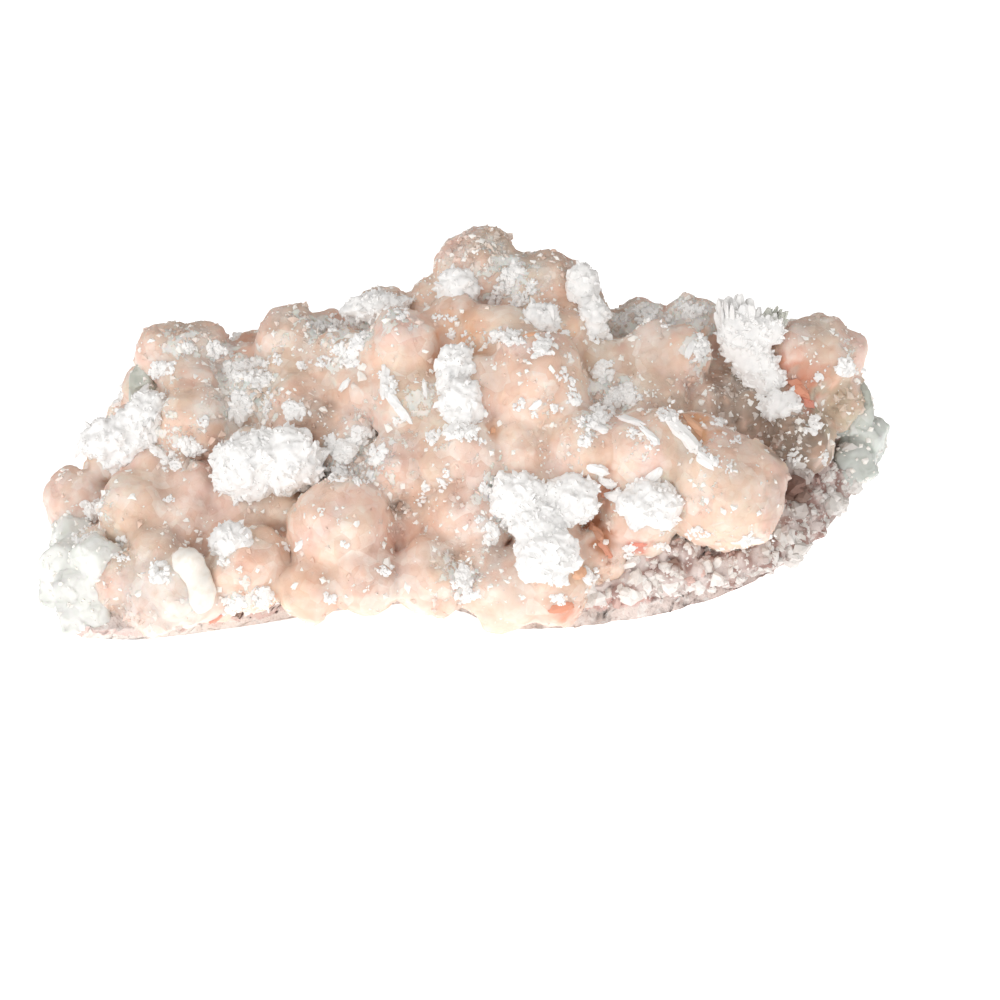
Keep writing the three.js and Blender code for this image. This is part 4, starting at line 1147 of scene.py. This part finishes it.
# %% Slivers
# Long crystals that lie on the stilbite, in the same terms as a tuft.
SLIVERS = [
    (680, 432, 4.4, 1.3, -52), (650, 435, 2.4, 0.6, -58), (631, 421, 2.9, 0.8, -52),
    (706, 461, 1.9, 0.9, -40), (385, 382, 3.0, 0.9, -78), (399, 408, 2.8, 0.9, -50),
    (425, 389, 1.6, 0.5, -85), (652, 478, 2.6, 1.0, 62), (670, 512, 2.8, 1.0, -28),
    (617, 497, 2.3, 0.9, 165), (748, 541, 2.6, 0.7, 0), (598, 470, 1.9, 0.9, -35),
    (606, 482, 1.6, 0.7, -40), (160, 455, 2.2, 0.9, -25), (598, 428, 1.8, 0.8, -20),
    (536, 405, 1.2, 0.6, 40), (690, 350, 1.8, 0.7, 70), (590, 300, 1.8, 0.6, -35),
    (345, 385, 1.4, 0.6, 50), (300, 545, 1.3, 0.6, 20),
]
# Slivers of stained stilbite, each with a tone of the palette in front.
STAINED_SLIVERS = [
    ("ochre", 589, 517, 1.9, 0.8, -68), ("ochre", 597, 532, 2.2, 0.9, -62),
    ("rust", 605, 548, 1.8, 0.8, -55), ("amber", 697, 427, 2.8, 1.2, -62),
    ("scarlet", 810, 403, 2.2, 1.0, -52), ("rust", 799, 388, 2.2, 1.2, -50),
    ("rust", 606, 492, 1.5, 0.9, 40), ("scarlet", 216, 620, 1.4, 0.6, 80),
    ("scarlet", 640, 545, 1.2, 0.7, 20), ("rust", 560, 608, 2.2, 1.0, 15),
    ("amber", 493, 430, 0.9, 0.7, 30), ("amber", 578, 571, 1.5, 1.1, 60), ("amber", 528, 335, 1.2, 0.6, 20),
    ("umber", 398, 508, 1.2, 0.7, 20), ("bark", 195, 457, 1.2, 0.9, 0),
]


def slivers(rows, lift, seed):
    """Jittered ellipsoids that lie along a direction in the picture, pressed flat onto the surface: half
    width, 0.7 half widths outwards, half length. Their middles stand `lift` half widths above it."""
    draw = np.random.default_rng(seed)
    ways, faces = globe(*SLIVER), globe_faces(*SLIVER)
    shells = []
    for across, down, half_long, half_wide, degrees in rows:
        place, out = seen_at(across, down)
        along = math.cos(math.radians(degrees)) * rightward + math.sin(math.radians(degrees)) * upward
        pole = unit(along - (along @ out) * out)
        shape = ways * draw.uniform(0.72, 1.25, (len(ways), 1)) * [half_wide, 0.7 * half_wide, half_long]
        turned = shape @ np.stack([np.cross(out, pole), out, pole])
        shells.append((place + lift * half_wide * out + turned, faces))
    return joined(shells)


print("white slivers:", len(SLIVERS), "stained ones:", len(STAINED_SLIVERS))

# %% Places in the tufts
PIXELS_PER_MM = 6.03  # what a millimetre on the specimen measures in the picture
tuft_draw = np.random.default_rng(91)
tuft_places, tuft_outs, tuft_sizes = [], [], []
for across, down, half_long, half_wide, degrees in TUFTS:
    along = math.radians(degrees)
    for _ in range(round(4 + 4 * half_long * half_wide)):
        out, turn = math.sqrt(tuft_draw.uniform(0, 1)), tuft_draw.uniform(0, 2 * np.pi)
        u, v = out * math.cos(turn) * half_long * 0.8, out * math.sin(turn) * half_wide * 0.8
        found = seen_at(
            across + PIXELS_PER_MM * (u * math.cos(along) - v * math.sin(along)),
            down - PIXELS_PER_MM * (u * math.sin(along) + v * math.cos(along)),
        )
        if found is not None:
            tuft_places.append(found[0])
            tuft_outs.append(found[1])
            tuft_sizes.append(half_wide * tuft_draw.uniform(0.4, 0.65) * (1.2 - 0.6 * out))
print("lumps of tufts in front:", len(tuft_places))

# %% Places in the patches behind
BACK_PATCHES = 46
BACK_PATCH = 26  # lumps in each patch
mass_middle = mass[mass_faces].mean(axis=1)
back_weight = fade(6, 12, mass_middle[:, 1]) * fade(4, 10, mass_middle[:, 2])
back_weight = back_weight * fade(-0.2, 1, waves(mass_middle, 9, 95))
middles, _, _ = scatter(mass, mass_faces, BACK_PATCHES, tuft_draw, back_weight)
for middle in middles:
    wide = tuft_draw.uniform(1.0, 3.2)
    for _ in range(BACK_PATCH):
        place, out, _, _ = tree.find_nearest(Vector(middle + tuft_draw.normal(0, 0.6 * wide, 3)))
        tuft_places.append(np.array(place))
        tuft_outs.append(np.array(out))
        tuft_sizes.append(wide * tuft_draw.uniform(0.15, 0.45))
print("lumps of tufts in all:", len(tuft_places))

# %% Growing the tufts
tuft_places, tuft_outs, tuft_sizes = np.array(tuft_places), np.array(tuft_outs), np.array(tuft_sizes)
lumps_of_tufts = grains(tuft_places, tuft_outs, tuft_sizes, 0.8, 92, sink=0.15, kind=NUGGET)
rim_places = tuft_places + 0.9 * tuft_sizes[:, None] * tuft_draw.normal(size=tuft_places.shape)
rim_sizes = 0.16 + 0.36 * tuft_draw.power(0.6, len(tuft_places))
rim_grains = grains(rim_places, tuft_outs, rim_sizes, 1.2, 93)
white_slivers = slivers([row for row in SLIVERS if seen_at(*row[:2])], 0.1, 101)
tufts = write_mesh("chalk_tufts", *joined([lumps_of_tufts, rim_grains, white_slivers]), smooth=False)
print("tufts: triangles:", len(tufts.data.polygons))

# %% Stained slivers
STAIN_SHARE = 0.72  # the rest of a stained sliver's tone is peach
stained_rows = [row for row in STAINED_SLIVERS if seen_at(*row[1:3])]
stained_surface = slivers([row[1:] for row in stained_rows], -0.35, 102)
stained_slivers = write_mesh("stilbite_slivers", *stained_surface, smooth=False)
stains = np.array([PALETTE[row[0]] for row in stained_rows])
sliver_tones = STAIN_SHARE * stains + (1 - STAIN_SHARE) * np.array(PALETTE["peach"])
add_colour(stained_slivers, "tone", np.repeat(sliver_tones, len(globe(*SLIVER)), axis=0))
add_number(stained_slivers, "stained", np.ones(len(stained_slivers.data.vertices)))
print("stained slivers:", len(stained_rows), "triangles:", len(stained_slivers.data.polygons))

# %% Specks
SPECKS = 3600
FLAKES = 3400
GLASS_FLAKES = (260, 220, 30)  # on the three clusters of apophyllite
mass_facing = mass_out[mass_faces[:, 0]]
settled = 0.35 + np.clip(mass_facing[:, 2] + 0.5 * np.abs(mass_facing[:, 1]), 0, 1)
patches = fade(-0.8, 1.2, waves(mass_middle, 9, 95) + 0.6 * waves(mass_middle, 3.5, 96))
speck_weight = (0.10 + patches**2 + 0.8 * of_faces(crumbly, mass_faces)) * settled * (mass_middle[:, 2] > 2)
speck_draw = np.random.default_rng(97)
places, outs, _ = scatter(mass, mass_faces, SPECKS, speck_draw, speck_weight)
speck_sizes = 0.12 + 0.30 * speck_draw.power(0.5, SPECKS)
specks = write_mesh("chalk_specks", *grains(places, outs, speck_sizes, 0.9, 98, sink=0.5, kind=CHIP))
places, outs, _ = scatter(mass, mass_faces, FLAKES, speck_draw, speck_weight)
flake_sizes = 0.28 + 0.75 * speck_draw.power(0.4, FLAKES)
flake_meshes = [grains(places, outs, flake_sizes, 0.75, 99, sink=0.42)]
for piece, count in zip(crystals, GLASS_FLAKES):
    on_piece = scatter(*read_mesh(piece), count, speck_draw)
    sizes = 0.2 + 0.5 * speck_draw.power(0.4, count)
    flake_meshes.append(grains(on_piece[0], on_piece[1], sizes, 0.8, 100, sink=0.1))
flakes = write_mesh("chalk_flakes", *joined(flake_meshes), smooth=False)
dust = len(specks.data.polygons) + len(flakes.data.polygons)
print("specks:", SPECKS, "flakes:", FLAKES, "triangles:", dust)

# %% [markdown]
# ## Finishes
# A finish is a node tree. To read like the formula it is, each socket is wrapped, so that sums and
# products of sockets add the Math nodes, and one method adds any other node.

# %% A socket that does arithmetic
class Wire:
    """An output socket of a finish. Arithmetic with numbers or other wires adds Math nodes."""

    def __init__(self, tree, socket=None):
        self.tree = tree
        self.socket = socket

    def node(self, kind, settings=(), sockets=(), output=0):
        """Adds a node: its settings first, then a value or a wire for each named or numbered socket."""
        made = self.tree.nodes.new(kind)
        for name, value in dict(settings).items():
            setattr(made, name, value)
        for key, value in dict(sockets).items():
            if isinstance(value, Wire):
                self.tree.links.new(value.socket, made.inputs[key])
            else:
                made.inputs[key].default_value = value
        return Wire(self.tree, made.outputs[output])

    def math(self, operation, *values):
        return self.node("ShaderNodeMath", {"operation": operation}, dict(enumerate(values)))

    def vector(self, operation, *values, output=0):
        return self.node("ShaderNodeVectorMath", {"operation": operation}, dict(enumerate(values)), output)

    def __add__(self, other):
        return self.math("ADD", self, other)

    def __radd__(self, other):
        return self.math("ADD", other, self)

    def __sub__(self, other):
        return self.math("SUBTRACT", self, other)

    def __rsub__(self, other):
        return self.math("SUBTRACT", other, self)

    def __mul__(self, other):
        return self.math("MULTIPLY", self, other)

    def __rmul__(self, other):
        return self.math("MULTIPLY", other, self)

    def colour(self, red, green, blue):
        """A colour to start a mixture from."""
        made = self.node("ShaderNodeRGB")
        made.socket.default_value = (red, green, blue, 1)
        return made

    def number(self, name):
        """The piece's own number per point."""
        return self.node("ShaderNodeAttribute", {"attribute_name": name}, output=2)

    def tint(self, name):
        """The piece's own colour per point."""
        return self.node("ShaderNodeAttribute", {"attribute_name": name})

    def fade(self, low, high):
        """0 below low, 1 above high, smooth between."""
        smooth = {"interpolation_type": "SMOOTHSTEP"}
        return self.node("ShaderNodeMapRange", smooth, {0: self, 1: low, 2: high})

    def mixed(self, other, amount):
        """This colour moved towards another colour by an amount."""
        return self.node("ShaderNodeMix", {"data_type": "RGBA"}, {0: amount, 6: self, 7: other}, 2)

    def place(self):
        """The place on the piece, in its own coordinates."""
        return self.node("ShaderNodeTexCoord", output=3)

    def grain_of(self, size, detail=3.0, roughness=0.6):
        """Noise over the piece's own coordinates, with features of a size in mm."""
        scale = {"Vector": self.place(), "Scale": 1 / (size * MM), "Detail": detail, "Roughness": roughness}
        return self.node("ShaderNodeTexNoise", {}, scale)

    def planes_of(self, size):
        """Height of broken planes, about -0.5 to 0.5: how far a place lies from the nearest scattered
        point, in sizes, along that point's own random direction."""
        here = self.place()
        cells = self.node("ShaderNodeTexVoronoi", {}, {"Vector": here, "Scale": 1 / (size * MM)}, 2)
        way = self.node("ShaderNodeTexVoronoi", {}, {"Vector": here, "Scale": 1 / (size * MM)}, 1)
        away = self.vector("SUBTRACT", here, cells)
        tilt = self.vector("SUBTRACT", way, (0.5, 0.5, 0.5))
        return self.vector("DOT_PRODUCT", away, tilt, output=1) * (1 / (size * MM))

    def tone_of(self, size):
        """One random number of 0 to 1 for each of the cells whose planes planes_of(size) gives: the X of the
        same random colour that tilts its plane.
        """
        cells = self.node("ShaderNodeTexVoronoi", {}, {"Vector": self.place(), "Scale": 1 / (size * MM)}, 1)
        return self.vector("DOT_PRODUCT", cells, (1, 0, 0), output=1)

    def bumped(self, depth):
        """A normal tilted by this height, whose full range is a depth in mm."""
        return self.node("ShaderNodeBump", {}, {"Height": self, "Distance": depth * MM, "Strength": 1.0})


def finish(name, constants, build):
    """A material whose Principled shader takes constants on its own sockets and what build() wires."""
    material = bpy.data.materials.new(name)
    material.use_nodes = True
    tree = material.node_tree
    shader = tree.nodes["Principled BSDF"]
    for socket, value in constants.items():
        shader.inputs[socket].default_value = value
    for socket, wire in build(Wire(tree)).items():
        tree.links.new(wire.socket, shader.inputs[socket])
    return material


def dressed(piece, material):
    """Gives a piece its finish, in a material slot, and its body."""
    piece.data.materials.append(material)
    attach(piece, "root")

# %% [markdown]
# ### Stilbite
# Stilbite is silky and lets light in by a few millimetres, which is what softens its shadows and warms
# its creases. The colour per point is broken up by clouds of 4 mm and by flat plates of 2.4 and 1.1 mm,
# each a little lighter or darker. The 1.1 mm plates vary at random, as the ends of its blades do; the
# 2.4 mm plates are painted light and shade, since each one's tone is the same random number that tilts it
# along X, so plates that lean left, towards the key light, are lighter and those that lean right darker.
# The same plates tilt the surface. Where the frost number is high, a thin white crust covers it in specks.
# Crumbs get the same finish without the scattered light, because they are too small for it.

# %% Stilbite finish
def stilbite_finish(wire):
    tone = wire.tint("tone")
    crease = wire.number("crease")
    crumbly = wire.number("crumbly")
    frost = wire.number("frost")
    cloud = wire.grain_of(4.0, 2.0)
    fine = wire.grain_of(0.9, 3.0)
    plates = wire.planes_of(2.4)
    # Painted light and shade: each 2.4 mm plate's tone is the X of its own tilt, so plates leaning left,
    # towards the key light, turn lighter and those leaning right darker.
    plate_light_and_shade = wire.tone_of(2.4)
    flake_tone = wire.tone_of(1.1)
    lighter = cloud.fade(0.42, 0.70) * 0.30 + plate_light_and_shade.fade(0.5, 1.0) * 0.30
    lighter = lighter + flake_tone.fade(0.6, 1.0) * 0.15
    darker = cloud.fade(0.52, 0.26) * 0.22 + plate_light_and_shade.fade(0.5, 0.0) * 0.20
    darker = darker + flake_tone.fade(0.4, 0.0) * 0.08
    # stained holds real stains and painted shade alike.
    stained = wire.number("stained")
    colour = tone.mixed((0.94, 0.88, 0.82, 1), lighter * (1 - 0.85 * stained))
    colour = colour.mixed((0.72, 0.46, 0.34, 1), darker)
    colour = colour.mixed((0.60, 0.40, 0.31, 1), fine.fade(0.58, 0.80) * (0.03 + 0.25 * crumbly))
    crust = wire.grain_of(1.3, 4.0, 0.7)
    frosted = (frost * 0.55 + crust).fade(0.78, 0.86)
    white = wire.colour(0.93, 0.90, 0.86)
    white = white.mixed((0.82, 0.86, 0.80, 1), wire.grain_of(3.0).fade(0.45, 0.65) * 0.6)
    colour = colour.mixed(white, frosted * 0.85)
    height = fine * (0.1 + 0.3 * crumbly) + plates * 1.0 + wire.planes_of(0.8) * (0.15 + 0.5 * crumbly)
    return {
        "Base Color": colour,
        "Roughness": 0.40 + 0.2 * crumbly + 0.15 * crease + 0.2 * frosted,
        "Normal": (height + frosted * 0.5).bumped(0.30),
    }


STILBITE_GLOSS = {"IOR": 1.5, "Specular IOR Level": 0.4}
STILBITE_SCATTER = {
    "Subsurface Weight": 0.6,
    "Subsurface Radius": (1.0, 0.68, 0.54),
    "Subsurface Scale": 2.0 * MM,
}
crumb_material = finish("stilbite_crumb", STILBITE_GLOSS, stilbite_finish)
stilbite_material = finish("silky_stilbite", {**STILBITE_SCATTER, **STILBITE_GLOSS}, stilbite_finish)
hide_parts("stilbite")
dressed(stilbite, stilbite_material)
dressed(crumbs, crumb_material)
dressed(stained_slivers, crumb_material)

# %% [markdown]
# ### Chalky white
# The white mineral is bright and dull, a little greyer in soft patches. Specks and flakes are creamier,
# and the smooth lobe is waxy: it lets a little light in.

# %% White finishes
def chalk_finish(wire):
    rough = wire.grain_of(0.55, 4.0, 0.7)
    soft = wire.grain_of(2.4)
    white = wire.colour(0.94, 0.935, 0.925)
    colour = white.mixed((0.72, 0.73, 0.74, 1), soft.fade(0.5, 0.72) * 0.35)
    return {"Base Color": colour, "Normal": (rough + soft).bumped(0.07)}


def flake_finish(wire):
    white = wire.colour(0.96, 0.94, 0.90)
    return {"Base Color": white.mixed((0.88, 0.82, 0.74, 1), wire.grain_of(2.0).fade(0.5, 0.7) * 0.5)}


def lobe_finish(wire):
    soft = wire.grain_of(1.6)
    white = wire.colour(0.92, 0.885, 0.83)
    colour = white.mixed((0.86, 0.79, 0.69, 1), soft.fade(0.45, 0.7) * 0.7)
    return {"Base Color": colour, "Normal": soft.bumped(0.22)}


WAX_SCATTER = {
    "Subsurface Weight": 0.5,
    "Subsurface Radius": (1.0, 0.95, 0.88),
    "Subsurface Scale": 0.5 * MM,
}
chalk = finish("chalky_white", {"Roughness": 0.75, "Specular IOR Level": 0.3}, chalk_finish)
cream = finish("creamy_flakes", {"Roughness": 0.6, "Specular IOR Level": 0.3}, flake_finish)
wax = finish("waxy_white", {"Roughness": 0.42, **WAX_SCATTER}, lobe_finish)
for piece in [*whites, spray, tufts]:
    dressed(piece, chalk)
for piece in (specks, flakes):
    dressed(piece, cream)
dressed(lobe, wax)

# %% [markdown]
# ### Apophyllite
# Clear parts are see-through with the mineral's own IOR of 1.535, and cloudy veils are not: the clear
# shader and a milky one are mixed by noise. The milk is lighter on some planes than on others, painted
# light that stands for facets catching the light, and darker in the crystals that stand high, painted
# darkening for the brown stilbite seen through them.

# %% Apophyllite finish
APOPHYLLITE_IOR = 1.535
# Painted: the milk darkens between these heights, for the brown stilbite seen through the high crystals.
PAINTED_DARK_HEIGHTS = (29, 34)  # heights in mm between which the milk darkens


def apophyllite_material(name, milk, cloudy, tint):
    """Clear and milky parts mixed by veils: milk is the milky colour, `cloudy` the least share of milk."""
    material = bpy.data.materials.new(name)
    material.use_nodes = True
    tree = material.node_tree
    clear = tree.nodes["Principled BSDF"]
    constants = {"Base Color": tint, "Transmission Weight": 0.8, "IOR": APOPHYLLITE_IOR, "Roughness": 0.16}
    for socket, value in constants.items():
        clear.inputs[socket].default_value = value
    wire = Wire(tree)
    veil = wire.grain_of(5.5, 2.0).fade(0.35, 0.6)
    soft = wire.grain_of(1.4, 2.0)
    milky_sockets = {
        "Roughness": 0.3, "Subsurface Weight": 0.5, "Subsurface Radius": (0.9, 1, 0.9),
        "Subsurface Scale": 0.8 * MM, "Normal": soft.bumped(0.08),
    }
    milky = wire.node("ShaderNodeBsdfPrincipled", {}, milky_sockets)
    shade = wire.colour(*milk)
    # Painted light: the milk is lighter on the raised side of each 4 mm plane and darker on its low side, for
    # facets that catch the light.
    plates = wire.planes_of(4.0)
    shade = shade.mixed((0.93, 0.95, 0.93, 1), plates.fade(0.0, 0.3) * 0.6)
    shade = shade.mixed((0.58, 0.63, 0.57, 1), (0 - plates).fade(0.05, 0.35) * 0.35)
    high = wire.vector("DOT_PRODUCT", wire.place(), (0, 0, 1 / MM), output=1).fade(*PAINTED_DARK_HEIGHTS)
    shade = shade.mixed((0.40, 0.40, 0.31, 1), high * 0.5)
    tree.links.new(shade.socket, milky.socket.node.inputs["Base Color"])
    share = veil * (0.95 - cloudy) + cloudy
    both = wire.node("ShaderNodeMixShader", {}, {0: share, 1: Wire(tree, clear.outputs[0]), 2: milky})
    tree.links.new(soft.bumped(0.06).socket, clear.inputs["Normal"])
    tree.links.new(both.socket, tree.nodes["Material Output"].inputs["Surface"])
    return material


cloudy_glass = apophyllite_material("cloudy_apophyllite", (0.89, 0.90, 0.86), 0.7, (0.88, 0.93, 0.88, 1))
grey_glass = apophyllite_material("glassy_apophyllite", (0.74, 0.78, 0.74), 0.65, (0.80, 0.86, 0.82, 1))
for piece, glass in zip([*crystals, side_spray], (cloudy_glass, grey_glass, grey_glass, cloudy_glass)):
    dressed(piece, glass)

# %% [markdown]
# ### Matrix
# The plate's layers run level through its thickness: the layer number picks the tone, and noise makes
# the seams wander and break off.

# %% Matrix finish
def matrix_finish(wire):
    layer = wire.number("layer")
    right = wire.number("right")
    drift = wire.grain_of(5.0)
    spot = wire.grain_of(1.6, 4.0, 0.7)
    level = layer + 0.35 * drift - 0.17 + 0.12 * spot - 0.06
    seam = level.fade(0.25, 0.36) * (1 - level.fade(0.46, 0.60))
    grey = wire.colour(0.88, 0.81, 0.76)
    colour = grey.mixed((0.68, 0.55, 0.51, 1), right)
    colour = colour.mixed((0.70, 0.57, 0.54, 1), level.fade(0.45, 0.62) * (0.5 + 0.5 * right))
    colour = colour.mixed((0.90, 0.87, 0.84, 1), spot.fade(0.50, 0.64) * 0.7)
    colour = colour.mixed((0.62, 0.26, 0.22, 1), seam * spot.fade(0.30, 0.5) * (0.35 + 0.6 * right))
    pits = wire.grain_of(1.1, 3.0).fade(0.60, 0.72)
    colour = colour.mixed((0.40, 0.24, 0.22, 1), pits * (0.35 + 0.5 * right))
    return {"Base Color": colour, "Normal": (spot + 0.4 * wire.grain_of(0.4)).bumped(0.4)}


def ledge_finish(wire):
    tone = wire.tint("tone")
    fine = wire.grain_of(0.6, 4.0, 0.7)
    colour = tone.mixed((0.60, 0.42, 0.38, 1), fine.fade(0.6, 0.8) * 0.3)
    return {"Base Color": colour, "Normal": fine.bumped(0.15)}


rock = finish("layered_matrix", {"Roughness": 0.85}, matrix_finish)
crusty = finish("crumbly_ledge", {"Roughness": 0.75, "Specular IOR Level": 0.3}, ledge_finish)
dressed(matrix, rock)
dressed(ledge, crusty)

# %% [markdown]
# ## Floor and light
# The floor is a wide pale sheet that glows a little, so that it stays white under the specimen. The key
# light is a large soft one, low on the left in front, which leaves the tops and the right end darker.

# %% Floor
FLOOR_RADIUS = 9000.0
FLOOR_SIDES = 48
FLOOR_GLOW = 0.85
floor_ways = np.linspace(0, 2 * np.pi, FLOOR_SIDES, endpoint=False)
floor_points = np.column_stack([np.cos(floor_ways), np.sin(floor_ways), 0 * floor_ways]) * FLOOR_RADIUS
floor = write_mesh("floor", floor_points, [list(range(len(floor_points)))], smooth=False)

paper = finish(
    "pale_floor",
    {
        "Base Color": (0.9, 0.9, 0.9, 1),
        "Roughness": 0.9,
        "Emission Color": (1, 1, 1, 1),
        "Emission Strength": FLOOR_GLOW,
    },
    lambda wire: {},
)
floor.data.materials.append(paper)

# %% Lights
def softbox(name, azimuth, height, away, size, power):
    """A square light that looks at the specimen: azimuth from the front towards +X, height, in degrees."""
    light = bpy.data.lights.new(name, "AREA")
    light.shape = "SQUARE"
    light.size = size * MM
    light.energy = power
    a, e = math.radians(azimuth), math.radians(height)
    back = Vector((math.sin(a) * math.cos(e), -math.cos(a) * math.cos(e), math.sin(e)))
    lamp = bpy.data.objects.new(name, light)
    spin = back.to_track_quat("Z", "Y").to_matrix().to_4x4()
    lamp.matrix_world = Matrix.Translation(Vector(AIM * MM) + back * away * MM) @ spin
    bpy.context.collection.objects.link(lamp)
    return lamp


softbox("key_light", azimuth=-40, height=20, away=620, size=420, power=1.22)
softbox("fill_light", azimuth=25, height=25, away=700, size=500, power=0.3)

STUDIO_LIGHT = (0.478, 0.461, 0.448, 1)
world = bpy.data.worlds.new("studio")
world.use_nodes = True
world.node_tree.nodes["Background"].inputs["Color"].default_value = STUDIO_LIGHT
bpy.context.scene.world = world
bpy.context.scene.view_settings.view_transform = "Standard"
